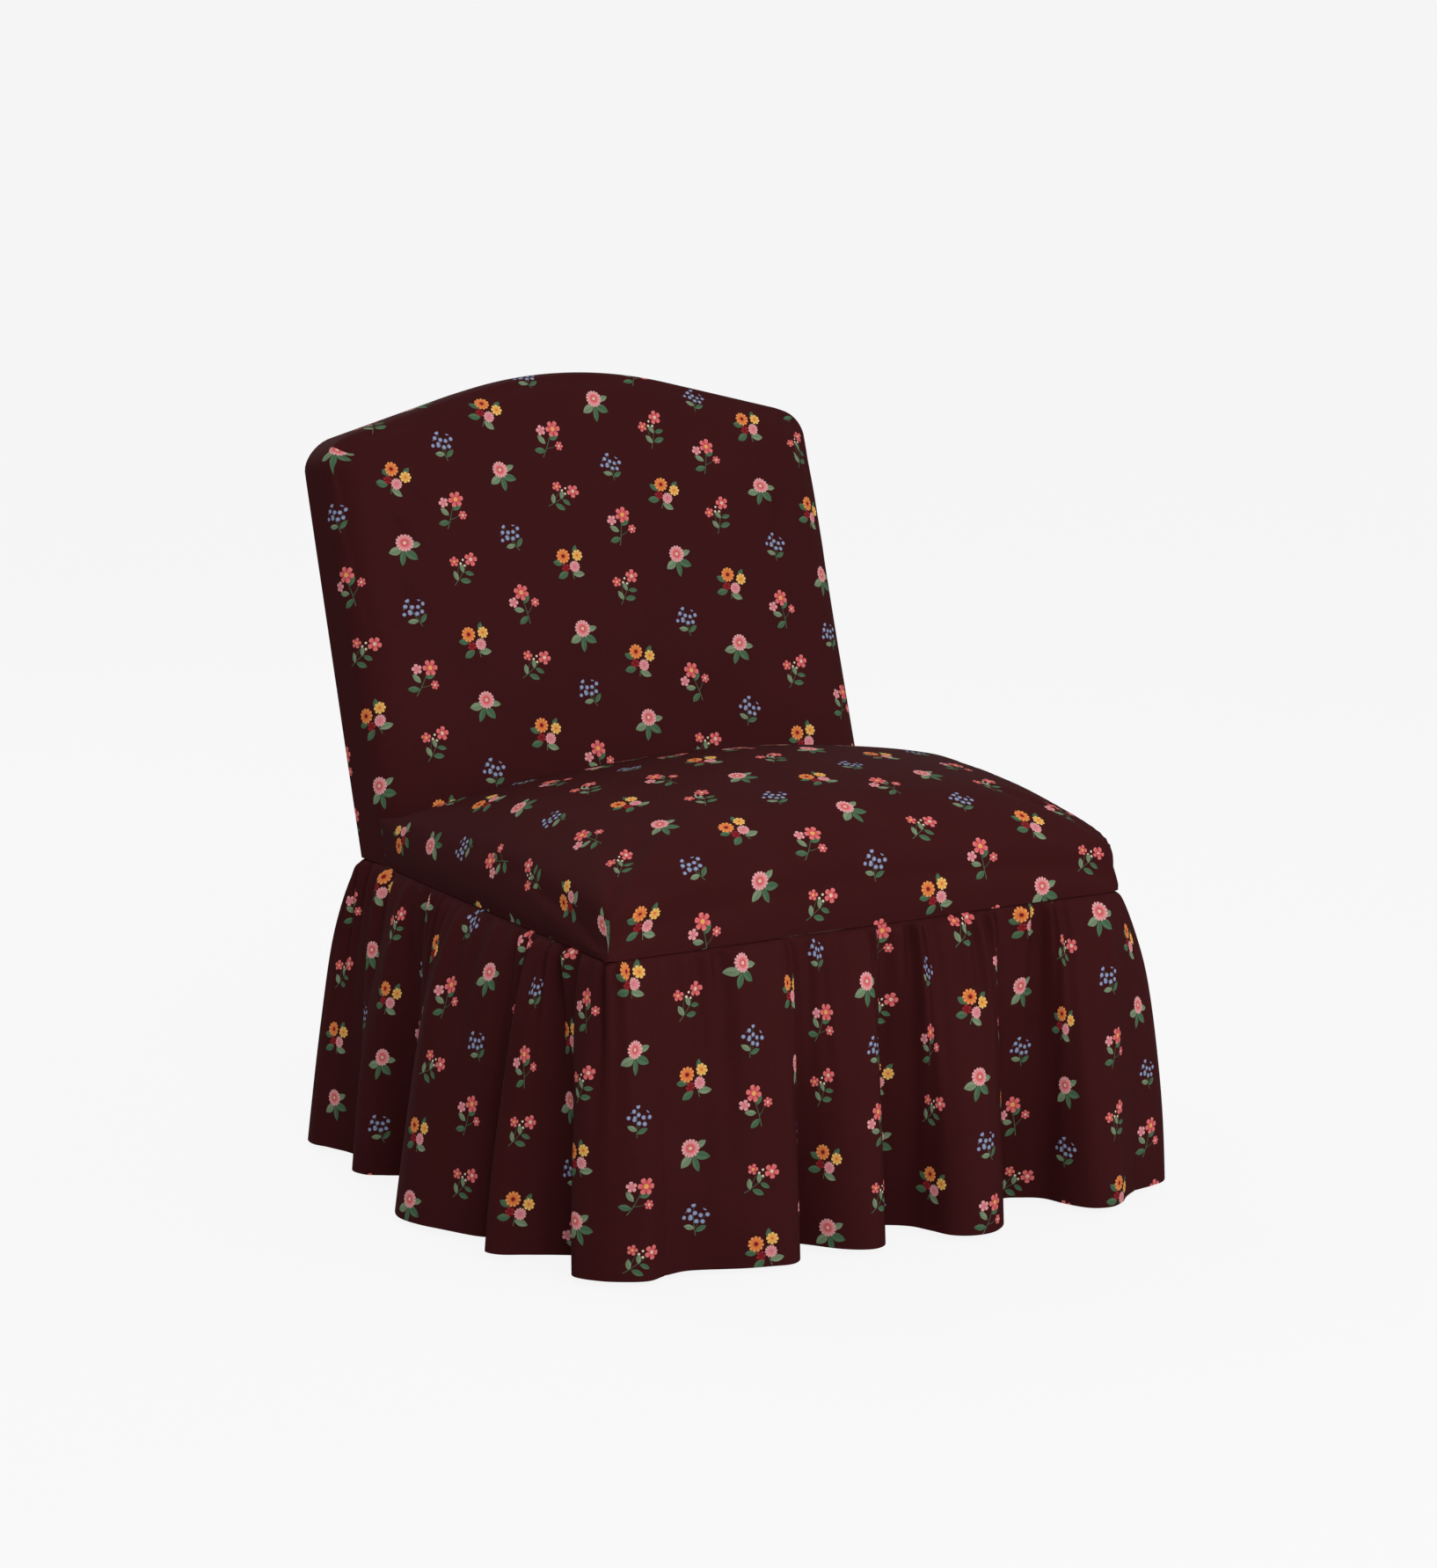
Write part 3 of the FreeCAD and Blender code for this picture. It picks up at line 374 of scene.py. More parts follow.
# Outside pad, and the finishes of foam and fibre.
# A thin sheet of bonded fibre behind the outside back. The foam and the batting under the
# covers take the same finishes, and are made with the covers that they lie below.
def padding(name, light, dark, cell, relief):
    """Open-cell foam or bonded fibre: cells of one size and soft hollows."""
    made, tree, shader = new_finish(name, Roughness=0.95)
    place = object_place(tree)
    cells = node_of(tree, "TexVoronoi", in_Vector=place, in_Scale=cell)
    share = Wire(cells.outputs["Distance"]) * 0.6 + clouds(tree, place, cell / 14, 3.0) * 0.5
    paint(shader, Base_Color=blend_colour(share, light, dark))
    bump(shader, share, 0.5, relief)
    return made


foam = padding("cut_foam", (0.85, 0.79, 0.58), (0.66, 0.58, 0.38), 900.0, 0.0006)
fibre = padding("bonded_fibre", (0.88, 0.88, 0.86), (0.70, 0.70, 0.68), 320.0, 0.0015)
finish_nodes(fibre, "outside_back_pad")


# Back board, tack strips and dust cover with its staples.
# Grey-brown card behind the outside back and under the skirt's header, and black
# non-woven cloth stapled under the rails.
card, tree, shader = new_finish("pressed_card", Roughness=0.85)
flecks = clouds(tree, object_place(tree), 380.0, 5.0)
paint(shader, Base_Color=blend_colour(flecks, (0.34, 0.26, 0.17), (0.58, 0.48, 0.35)))
bump(shader, flecks, 0.3, 0.0004)
finish_nodes(card, "back_board", "skirt_tack_strips")
finish_nodes(plain_cloth("black_cambric", (0.035, 0.035, 0.036), (0.014, 0.014, 0.014), 0.0016,
                         0.0003), "dust_cover")
finish_nodes(zinc, "dust_cover_staples")


# Printed cloth for every cover and the skirt.
# A tightly woven burgundy cotton with scattered small posies, screen printed. The posies
# are drawn in each piece's own cloth coordinates, in metres, so they follow its folds.
def soft_step(inside, softness):
    """Turns a distance inside an outline into a mask with a soft edge."""
    return math("DIVIDE", inside, softness, clamp=True)


def print_group(name, **sizes):
    """A motif's node group, in millimetres: its tree, x and y, its sizes and outputs."""
    group, (place, *wires), ends = effect_group(name, ("Mask", "Shade"), Vector=None, **sizes)
    flat = node_of(group, "SeparateXYZ", in_0=place)
    return group, Wire(flat.outputs[0]), Wire(flat.outputs[1]), wires, ends


petals, x, y, (count, radius, notch), ends = print_group("petals", Count=5.0, Radius=7.0,
                                                         Notch=0.4)
span = math("SQRT", x * x + y * y)
turn = math("ARCTAN2", y, x) * (count * 0.5)
lobe = 1.0 - abs(math("COSINE", turn))
edge = (1.0 - lobe * lobe * notch) * radius
feed(ends["Mask"], soft_step(edge - span, 0.45))
streak = math("SINE", turn * 6.0) * 0.14
feed(ends["Shade"], span / radius - lobe * 0.5 + streak)

leaf, x, y, (length, width), ends = print_group("leaf", Length=12.0, Width=5.0)
along = math("DIVIDE", x, length, clamp=True)
swell = along * (1.0 - along) * (width * 2.3)
aside = abs(y)
feed(ends["Mask"], soft_step(swell - aside, 0.4))
ribs = math("SINE", (x - aside) * 2.6)
feed(ends["Shade"], ribs * 0.18 + (y > 0.0) * 0.35 + (aside < 0.35) * 0.5)

stem, x, y, (length, bend, width), ends = print_group("stem", Length=20.0, Bend=4.0, Width=0.7)
along = math("DIVIDE", x, length, clamp=True)
aside = abs(y - along * along * bend)
between_ends = (along > 0.0) * (along < 1.0)
feed(ends["Mask"], soft_step(width * 0.7 - aside, 0.35) * between_ends)
feed(ends["Shade"], along)

berries, x, y, (length, pitch, radius), ends = print_group("berries", Length=16.0, Pitch=3.0,
                                                           Radius=1.7)
steps = x / pitch
local = (math("FRACT", steps) - 0.5) * pitch
sign = math("FLOOR", steps) % 2.0 * 2.0 - 1.0
aside = y - sign * 0.62 * pitch
span = math("SQRT", local * local + aside * aside)
between_ends = (x > 0.0) * (x < length)
feed(ends["Mask"], soft_step(radius - span, 0.4) * between_ends)
feed(ends["Shade"], span / radius)

CORAL = ((0.76, 0.20, 0.19), (0.55, 0.06, 0.08))
PINK = ((0.80, 0.41, 0.40), (0.62, 0.17, 0.21))
ORANGE = ((0.86, 0.33, 0.10), (0.62, 0.13, 0.03))
YELLOW = ((0.88, 0.58, 0.18), (0.72, 0.32, 0.06))
WINE = ((0.34, 0.025, 0.03), (0.16, 0.01, 0.014))
BLUE = ((0.34, 0.40, 0.56), (0.17, 0.20, 0.35))
CREAM = ((0.82, 0.74, 0.60), (0.62, 0.46, 0.30))
GREEN = ((0.08, 0.16, 0.085), (0.028, 0.075, 0.038))
SAGE = ((0.21, 0.28, 0.17), (0.08, 0.15, 0.08))
# Each posy's parts in the order they are printed: shape, place, turn, sizes in the order of
# the shape's inputs, and light and dark colours.
POSIES = (
    ((stem, (-4, -21), 74, (34, 5, 0.8), GREEN),
     (stem, (-1, -10), 20, (15, 4, 0.6), GREEN),
     (leaf, (-2, -13), 195, (14, 6), GREEN),
     (leaf, (-3, -6), 150, (13, 5.5), SAGE),
     (leaf, (0, 1), 30, (12, 5), GREEN),
     (petals, (3, 13), 20, (6, 9.0, 0.55), CORAL),
     (petals, (3, 13), 0, (9, 2.6, 0.3), YELLOW),
     (petals, (-11, 7), 50, (5, 5.8, 0.5), PINK),
     (petals, (13, -3), 10, (6, 5.0, 0.5), CORAL),
     (petals, (13, -3), 0, (5, 1.6, 0.3), CREAM)),
    ((stem, (2, -16), 105, (32, -6, 0.7), GREEN),
     (stem, (1, -8), 60, (18, -3, 0.5), GREEN),
     (leaf, (1, -12), 30, (13, 5), GREEN),
     (leaf, (1, -9), 165, (12, 5), SAGE),
     (berries, (0, -4), 102, (20, 4.2, 2.5), BLUE),
     (berries, (5, -2), 58, (14, 4.2, 2.4), BLUE),
     (berries, (-4, 0), 136, (9, 4.2, 2.2), BLUE)),
    ((leaf, (0, -3), -28, (18, 8), GREEN),
     (leaf, (-1, -3), -152, (17, 8), SAGE),
     (leaf, (0, -4), -92, (18, 6), GREEN),
     (leaf, (4, 2), 15, (14, 6), SAGE),
     (petals, (0, 4), 0, (15, 9.5, 0.22), PINK),
     (petals, (0, 4), 8, (13, 5.6, 0.25), CORAL),
     (petals, (0, 4), 0, (7, 2.0, 0.2), CREAM)),
    ((stem, (0, -19), 88, (20, -2, 0.8), GREEN),
     (stem, (0, -8), 48, (17, 3, 0.6), GREEN),
     (leaf, (0, -13), -15, (15, 6.5), SAGE),
     (leaf, (-4, -10), 195, (15, 7), GREEN),
     (leaf, (-7, 0), 160, (13, 6), GREEN),
     (leaf, (8, 6), 62, (12, 5), GREEN),
     (petals, (-5, 8), 0, (11, 8.2, 0.3), ORANGE),
     (petals, (-5, 8), 0, (8, 2.6, 0.2), WINE),
     (petals, (12, 5), 15, (8, 6.4, 0.35), YELLOW),
     (petals, (12, 5), 15, (6, 2.0, 0.3), ORANGE),
     (petals, (5, -6), 40, (12, 6.4, 0.25), PINK),
     (petals, (-6, -5), 40, (5, 5.0, 0.45), WINE)),
    ((stem, (-12, -13), 42, (32, 4, 0.7), GREEN),
     (stem, (-7, -8), 84, (19, -3, 0.6), GREEN),
     (leaf, (-7, -9), 105, (12, 5), SAGE),
     (leaf, (-5, -8), -12, (14, 5.5), GREEN),
     (leaf, (1, -1), 100, (11, 4.5), SAGE),
     (leaf, (2, 0), -18, (12, 4.5), GREEN),
     (petals, (12, 13), 0, (5, 7.6, 0.6), CORAL),
     (petals, (12, 13), 30, (5, 2.2, 0.4), CREAM),
     (petals, (-8, 12), 12, (5, 5.6, 0.6), CORAL),
     (petals, (-8, 12), 0, (5, 1.7, 0.4), YELLOW),
     (berries, (2, 5), 100, (9, 3.2, 1.5), CREAM)),
)
POSY_ACROSS, POSY_ALONG, POSY_GROWTH = 0.070, 0.077, 1.08
POSY_SHIFT, POSY_SPIN, AFTER_LAST = 7.0, 0.9, 1e-7

scattered, (place, colour), ends = effect_group(
    "scattered_posies", ("Color", "Ink"), Vector=None, Ground=(0.04, 0.008, 0.01))
flat = node_of(scattered, "SeparateXYZ", in_0=place)
column_at = Wire(flat.outputs[0]) / POSY_ACROSS
column = math("FLOOR", column_at)
row_at = Wire(flat.outputs[1]) / POSY_ALONG + column % 2.0 * 0.5
row = math("FLOOR", row_at)
chosen = (column * 2.0 + row) % float(len(POSIES))
cell = node_of(scattered, "CombineXYZ", in_0=column, in_1=row)
chance = node_of(scattered, "TexWhiteNoise", noise_dimensions="2D", in_Vector=cell.outputs[0])
chances = [Wire(part) - 0.5 for part in
           node_of(scattered, "SeparateColor", in_0=chance.outputs["Color"]).outputs]
spot = node_of(scattered, "CombineXYZ")
for axis, (at, whole, size) in enumerate(((column_at, column, POSY_ACROSS),
                                          (row_at, row, POSY_ALONG))):
    centred = (at - whole - 0.5) * (size * 1000 / POSY_GROWTH)
    feed(spot.inputs[axis], centred + chances[axis] * POSY_SHIFT)
spin = node_of(scattered, "VectorRotate", rotation_type="Z_AXIS", in_Vector=spot.outputs[0],
               in_Angle=chances[2] * POSY_SPIN)
ink = None
for number, posy in enumerate(POSIES):
    picked = math("COMPARE", chosen, float(number), 0.1)
    for group, centre, degrees, sizes, (light, dark) in posy:
        in_turn = node_of(scattered, "VectorMath", operation="MULTIPLY_ADD",
                          in_1=(AFTER_LAST, 0, 0), in_2=spin.outputs[0])
        if ink:
            feed(in_turn.inputs[0], ink)
        moved = mapped(scattered, in_turn.outputs[0], vector_type="TEXTURE",
                       in_Location=(*centre, 0), in_Rotation=(0, 0, radians(degrees)))
        drawn = node_of(scattered, "Group", node_tree=group, in_0=moved)
        for socket, size in zip(drawn.inputs[1:], sizes):
            socket.default_value = size
        mask, shade = [Wire(socket) for socket in drawn.outputs]
        share = mask * picked
        tones = (dark, light) if group is petals else (light, dark)
        colour = blend_colour(share, colour, blend_colour(shade, *tones))
        ink = math("MAXIMUM", ink or 0.0, share)
feed(ends["Color"], colour)
feed(ends["Ink"], ink)


def printed_cloth(name, slide):
    """The printed cotton, cut from its own place on the bolt."""
    made, tree, shader = new_finish(name, Specular_IOR_Level=0.03)
    cloth = node_of(tree, "UVMap", uv_map="Cloth").outputs[0]
    laid = mapped(tree, cloth, in_Location=(*slide, 0))
    ground = blend_colour(clouds(tree, cloth, 9.0, 4.0), (0.0375, 0.0060, 0.0066),
                          (0.0495, 0.0080, 0.0088))
    posies = place_group(tree, scattered, Vector=laid, Ground=ground)
    threads = place_group(tree, weave, Vector=cloth, Thread_Pitch=0.0009, Slub=0.5)
    # Painted shade between the threads darkens the print, following the weave's Shade, over an
    # even slight darkening of the whole cloth.
    shade = math("MULTIPLY_ADD", threads["Shade"], 0.35, 0.12, clamp=True)
    paint(shader, Base_Color=blend_colour(shade, posies["Color"], (0.012, 0.003, 0.004)),
          Roughness=posies["Ink"] * 0.12 + 0.74)
    bump(shader, threads["Height"], 0.35, 0.00022)
    return made


# Seat cover over its batting, its foam and the front edge roll.
# One piece of printed cotton pulled over the domed seat and down its sides, rounded at the
# front corners and tacked under the skirt's header. A layer of fibre lies below it, over a
# slab of cut foam and a foam roll along the front rail.
SEAT_HALF, SEAT_FRONT, SEAT_DEPTH = 0.3205, -0.3312, 0.2546
SEAM, SEAT_EDGE, CROWN = 0.3422, 0.390, 0.0925
SEAT_CORNER, CORNER_SOFTENS, SOFTENS_FROM, SOFTENS_OVER = 0.006, 0.052, 0.030, 0.075
CORNER_DROP, DROP_REACH, REAR_FALL, REAR_LEAST = 0.004, 0.07, 0.018, 0.45
SHEET_MIDDLE, REAR_EASE, BULGE_HEIGHT, WALL_SINK = 0.08, 1.03, 0.085, 0.0004
AT_WALL, OFF_CORNER, OFF_BACK = 24, 10, 6
SPREAD, RIPPLE, FRONT_RIPPLE, DRAG, DRAG_REACH = 0.0011, 0.0004, 0.0007, 0.0008, 0.07
BACK_FOOT, FRONT_THICKNESS, TOP_THICKNESS, BACK_LENGTH = 0.245, 0.091, 0.074, 0.534
BACK_HALF, ROLL, END_TUCK = 0.320, 0.040, 0.013


def unit(value):
    """A value kept between nought and one."""
    return min(max(value, 0.0), 1.0)


def eased(share):
    """A share that starts and ends gently."""
    return share * share * (3 - 2 * share)


def cut_sheet(sheet, place, normal):
    """Cut a sheet along a plane and drop what lies beyond it."""
    everything = [*sheet.verts, *sheet.edges, *sheet.faces]
    bmesh.ops.bisect_plane(sheet, geom=everything, plane_co=place, plane_no=normal,
                           clear_outer=True)


def boxed_sheet(cuts, left_open):
    """A cube's faces, less those left open, cut into even strips each way."""
    sheet = bmesh.new()
    bmesh.ops.create_cube(sheet, size=2.0)
    sheet.loops.layers.uv.new("Cloth")
    gone = [face for face in sheet.faces
            if any(face.normal.dot(Vector(way)) > 0.5 for way in left_open)]
    bmesh.ops.delete(sheet, geom=gone, context="FACES")
    for axis, count in enumerate(cuts):
        run = [edge for edge in sheet.edges
               if abs(edge.verts[0].co[axis] - edge.verts[1].co[axis]) > 0.001]
        bmesh.ops.subdivide_edges(sheet, edges=run, cuts=count, use_grid_fill=True)
    return sheet


def shape_sheet(sheet, shaper):
    """Move each vertex to its place and give each face corner its cloth coordinates."""
    layer = sheet.loops.layers.uv["Cloth"]
    sheet.normal_update()
    spots = {}
    for face in sheet.faces:
        wall = tuple(round(part) for part in face.normal)
        for loop in face.loops:
            place, cloth = shaper(loop.vert.co.copy(), wall)
            spots[loop.vert] = place
            loop[layer].uv = cloth
    for vertex, place in spots.items():
        vertex.co = place
    bmesh.ops.recalc_face_normals(sheet, faces=sheet.faces)


def stand_in(name, mesh, finish, node):
    """A piece made of a mesh that takes a CAD node's place."""
    mesh.materials.append(finish)
    made = bpy.data.objects.new(name, mesh)
    scene.collection.objects.link(made)
    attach(made, "root")
    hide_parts(node)
    return made


def make_piece(name, sheet, finish, thickness, node):
    """A cloth piece from its outer face, given its thickness inwards."""
    for face in sheet.faces:
        face.smooth = True
    for edge in sheet.edges:
        edge.smooth = not edge.is_boundary
    mesh = bpy.data.meshes.new(name)
    sheet.to_mesh(mesh)
    sheet.free()
    made = stand_in(name, mesh, finish, node)
    wall = made.modifiers.new("thickness", "SOLIDIFY")
    wall.thickness = thickness
    wall.offset = -1
    return made


def dome(share):
    """The crown's height at a share of the way from the middle to the edge."""
    return (1 - min(abs(share), 1.0) ** 1.32) ** (1 / 3.25)


def front_dome(share):
    """The same from the middle to the front, where the filling is fuller."""
    return (1 - min(abs(share), 1.0) ** 1.70) ** (1 / 3.35)


def even_steps(height, reach, count=400):
    """Places along a section, spaced evenly by the length of cloth over it."""
    places, lengths = [0.0], [0.0]
    for step in range(1, count + 1):
        place = reach * sin(pi / 2 * step / count)
        rise = height(place) - height(places[-1])
        lengths.append(lengths[-1] + hypot(place - places[-1], rise))
        places.append(place)

    def at(share):
        want = share * lengths[-1]
        low = min(bisect_right(lengths, want), count) - 1
        part = (want - lengths[low]) / (lengths[low + 1] - lengths[low])
        return places[low] + (places[low + 1] - places[low]) * part
    return at, lengths[-1]


def sections(profile, reach, heights=8):
    """Even steps for sections from flat to full height, to mix between."""
    return [even_steps(lambda place: CROWN * step / heights * profile(place / reach), reach)
            for step in range(heights + 1)]


def on_section(steps, height_share, way_share):
    """The place at a share of the way along a section, and the cloth used up to it."""
    spot = height_share * (len(steps) - 1)
    low = min(int(spot), len(steps) - 2)
    part = spot - low
    (low_at, low_length), (high_at, high_length) = steps[low], steps[low + 1]
    return (low_at(way_share) * (1 - part) + high_at(way_share) * part,
            way_share * (low_length * (1 - part) + high_length * part))


FRONT_SWELL, SIDE_SWELL = ((0.001, 0.0035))
across, forward = sections(dome, SEAT_HALF), sections(front_dome, SEAT_DEPTH)
SEAT_MIDDLE, SEAT_REAR = SEAT_FRONT + SEAT_DEPTH, 0.215


def back_face(x, z):
    """How far back the back's rolled front face lies, across and up from the seam."""
    inset = ROLL * unit((BACK_HALF - x) / ROLL)
    thick = FRONT_THICKNESS + (TOP_THICKNESS - FRONT_THICKNESS) * (z - SEAM) / BACK_LENGTH
    ahead = ROLL - sqrt(ROLL ** 2 - (ROLL - inset) ** 2) - thick
    up = (z - SEAM + ahead * sin(RAKE)) / cos(RAKE)
    return BACK_FOOT + ahead * cos(RAKE) + up * sin(RAKE)


def seat_place(spot, wall):
    """Where a point of the seat's cloth lies, and its cloth coordinates."""
    a, b, c = spot
    sign = 1 if a > 0 else -1
    out = min(abs(a), 1.0)
    ahead = unit((SHEET_MIDDLE - b) / (1 + SHEET_MIDDLE))
    behind = unit((b - SHEET_MIDDLE) / (1 - SHEET_MIDDLE))
    x, cloth_x = on_section(across, 1.0, out)
    side_share = dome(x / SEAT_HALF)
    y, cloth_y = on_section(forward, side_share, ahead)
    depth_share = front_dome(y / SEAT_DEPTH)
    if behind:
        depth_share = max(dome(behind * (SEAT_REAR - SEAT_MIDDLE) / SEAT_DEPTH), REAR_LEAST)
    x, cloth_x = on_section(across, depth_share, out)
    side_share = dome(x / SEAT_HALF)
    y, cloth_y = on_section(forward, side_share, ahead)
    if not behind:
        depth_share = front_dome(y / SEAT_DEPTH)
    y = SEAT_MIDDLE - y
    drop = CORNER_DROP * max(1 - (y - SEAT_FRONT) / DROP_REACH, 0.0) ** 2 * (1 - side_share)
    top = SEAT_EDGE + (CROWN * depth_share - REAR_FALL * behind) * side_share - drop
    z = top
    if wall[2] != 1:
        z = SEAM + (c + 1) / 2 * (SEAT_EDGE - drop - SEAM)
    if behind:
        y = SEAT_MIDDLE + behind * (back_face(x, z) - SEAT_MIDDLE)
        depth_share = max(dome((y - SEAT_MIDDLE) / SEAT_DEPTH), REAR_LEAST)
        if wall[2] == 1:
            z = SEAT_EDGE + (CROWN * depth_share - REAR_FALL * behind) * side_share
        cloth_y = (SEAT_MIDDLE - y) * REAR_EASE
        x *= 1 - END_TUCK * behind ** 10
    cloth = [sign * cloth_x, -cloth_y]
    if wall[2] != 1:
        fallen = SEAT_EDGE - z
        if wall[1] == -1:
            cloth[1] -= fallen
        else:
            cloth[0] += fallen * wall[0]
    above = unit((z - SEAM - SOFTENS_FROM) / SOFTENS_OVER)
    corner = SEAT_CORNER + CORNER_SOFTENS * eased(above)
    over_x, over_y = x - SEAT_HALF + corner, SEAT_FRONT + corner - y
    if over_x > 0 and over_y > 0:
        turn = max(over_x, over_y) / hypot(over_x, over_y)
        x = SEAT_HALF - corner + over_x * turn
        y = SEAT_FRONT + corner - over_y * turn
    side = min(x / SEAT_HALF, 1.0)
    ahead = unit((SEAT_MIDDLE - y) / SEAT_DEPTH)
    bulge = sin(pi * unit((z - SEAM) / BULGE_HEIGHT))
    y -= (FRONT_SWELL * bulge - WALL_SINK) * ahead ** AT_WALL * (1 - side ** OFF_CORNER)
    x += ((SIDE_SWELL * bulge - WALL_SINK) * side ** AT_WALL * (1 - ahead ** OFF_CORNER)
          * (1 - behind ** OFF_BACK))
    spread = noise.noise(Vector((sign * x * 7, y * 7, 0.3)))
    ripple = noise.noise(Vector((sign * x * 24, y * 11, z * 14 + 5)))
    z += (SPREAD * spread + RIPPLE * ripple) * side_share ** 0.5
    y += FRONT_RIPPLE * ripple * ahead ** AT_WALL
    corner_reach = hypot(SEAT_HALF - x, y - SEAT_FRONT)
    drag = atan2(SEAT_HALF - x + 0.002, y - SEAT_FRONT + 0.002)
    z += DRAG * exp(-corner_reach / DRAG_REACH) * sin(drag * 11)
    return Vector((sign * x, y, z)), cloth


def back_plane(depth):
    """A point and normal of the raked plane that lies a depth ahead of the back's rear."""
    normal = Vector((0, cos(RAKE), -sin(RAKE)))
    return Vector((0, BACK_FOOT, SEAM)) - normal * depth, normal


SWELL_FRAMES = 20


def swell_cloth(sheet, cap, fixed=lambda spot: False):
    """Lets a sheet swell under its filling's pressure, held at its edges, by a cap at most."""
    sheet.verts.index_update()
    rim = {vertex for vertex in sheet.verts if vertex.is_boundary or fixed(vertex.co)}
    rim |= {edge.other_vert(vertex) for vertex in list(rim) for edge in vertex.link_edges}
    mesh = bpy.data.meshes.new("swelling")
    sheet.to_mesh(mesh)
    swelling = bpy.data.objects.new("swelling", mesh)
    scene.collection.objects.link(swelling)
    held = swelling.vertex_groups.new(name="held")
    held.add([vertex.index for vertex in rim], 1.0, "REPLACE")
    filled = swelling.modifiers.new("filled", "CLOTH").settings
    filled.quality = 5
    filled.vertex_group_mass = "held"
    filled.use_pressure = True
    filled.uniform_pressure_force = 4
    filled.effector_weights.gravity = 0
    for number in range(SWELL_FRAMES):
        scene.frame_set(number + 1)
    swollen = swelling.evaluated_get(bpy.context.evaluated_depsgraph_get()).data
    for vertex, moved in zip(sheet.verts, swollen.vertices):
        way = moved.co - vertex.co
        vertex.co += way * min(1.0, cap / max(way.length, 1e-9))
    bpy.data.objects.remove(swelling)
    scene.frame_set(1)


def sunk_copy(sheet, sunk):
    """A layer that lies a distance below a sheet."""
    layer = sheet.copy()
    layer.normal_update()
    for vertex, away in [(vertex, vertex.normal.copy()) for vertex in layer.verts]:
        vertex.co -= away * sunk
    return layer


def keep_clear(sheet, nodes, gap, close=0.005, far=0.012):
    """Eases cloth out wherever a hard piece would come within a gap of its face."""
    for node in nodes:
        hard = BVHTree.FromObject(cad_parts[node],
                                  bpy.context.evaluated_depsgraph_get())
        sheet.normal_update()
        for vertex, away in [(vertex, vertex.normal.copy()) for vertex in sheet.verts]:
            near, out, face, distance = hard.find_nearest(vertex.co, far)
            if near is None or out.dot(away) < 0.2:
                continue
            height = (vertex.co - near).dot(away)
            beside = sqrt(max(distance ** 2 - height ** 2, 0.0))
            share = min((far - beside) / (far - close), 1.0)
            if height < gap and share > 0:
                vertex.co += away * (gap - height) * share


FOAM_GRID = 0.006


def foam_below(name, node, sheet, depth):
    """Foam of its node's shape, pressed in wherever the cloth over it is rounder."""
    block = bpy.data.objects.new(name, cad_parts[node].data.copy())
    scene.collection.objects.link(block)
    even = block.modifiers.new("even", "REMESH")
    even.mode = "VOXEL"
    even.voxel_size = FOAM_GRID
    mesh = bpy.data.meshes.new_from_object(
        block.evaluated_get(bpy.context.evaluated_depsgraph_get()))
    bpy.data.objects.remove(block)
    cloth = BVHTree.FromBMesh(sheet)
    for vertex in mesh.vertices:
        near, out, face, gap = cloth.find_nearest(vertex.co)
        if (vertex.co - near).dot(out) > -depth:
            vertex.co = near - out * depth
    mesh.name = name
    mesh.materials.clear()
    mesh.shade_smooth()
    stand_in(name, mesh, foam, node)


def clear_of_back(sheet):
    """Cut a layer level with the back's front face."""
    front_slope = (FRONT_THICKNESS - TOP_THICKNESS) / BACK_LENGTH
    spot, normal = back_plane(FRONT_THICKNESS + 0.001)
    tilt = Matrix.Rotation(atan2(front_slope, 1), 3, "X")
    cut_sheet(sheet, spot, tilt @ normal)
    return sheet


seat_cloth = printed_cloth("printed_cotton_seat", (0.031, 0.012))
seat_outside = boxed_sheet((118, 104, 14), ((0, 0, -1), (0, 1, 0)))
shape_sheet(seat_outside, seat_place)
swell_cloth(seat_outside, cap=0.006)
keep_clear(seat_outside, ("front_rail", "left_rail", "right_rail"), gap=0.0022)
foam_below("seat_foam_block", "seat_foam", seat_outside, depth=0.0078)
foam_below("edge_roll_foam", "front_edge_roll", seat_outside, depth=0.0090)
fibre_sheet = clear_of_back(sunk_copy(seat_outside, sunk=0.0021))
seat_wadding = make_piece("seat_batting_layer", fibre_sheet, fibre, thickness=0.0045,
                          node="seat_batting")
seat_cover = make_piece("seat_cover_cloth", seat_outside, seat_cloth, thickness=0.0015,
                        node="seat_cover")


# Inside back cover over its batting and foam.
# Printed cotton pulled over the padded front, round the sides and the camel top, and
# turned over the rear edge, where the outside back is sewn to it. Fibre and a foam slab
# lie below it.
BACK_SPREAD, BACK_BELOW = 0.003, 0.035
CAMEL_RADIUS, CAMEL_HALF, SHOULDER = 0.550, 0.140, 0.036
REAR_ROLL, REAR_LIP = 0.005, 0.0040
REAR_WIDER, FRONT_NARROWER, TOP_NARROWER = 0.0028, 0.0056, 0.0044
NARROWER_FROM, NARROWER_OVER = 0.36, 0.10
REAR_HIGHER, FRONT_HIGHER = 0.0038, -0.0004
FRONT_ROUNDER, ROUNDER_DEPTH, SHOULDER_DROP = 0.026, 0.024, 0.002
PUFF_HALF, PUFF_MIDDLE, PUFF_RISE, BACK_UNEVEN = 0.29, 0.22, 0.27, 0.0011
HELD_BEHIND = 0.052
CAMEL_SLOPE = CAMEL_HALF / sqrt(CAMEL_RADIUS ** 2 - CAMEL_HALF ** 2)


def camel_top(x):
    """The height of the back's outline along the rake."""
    if abs(x) < CAMEL_HALF:
        return BACK_LENGTH - CAMEL_RADIUS + sqrt(CAMEL_RADIUS ** 2 - x * x)
    straight = BACK_LENGTH - CAMEL_RADIUS + CAMEL_RADIUS * sqrt(1 + CAMEL_SLOPE ** 2)
    return straight - CAMEL_SLOPE * abs(x)


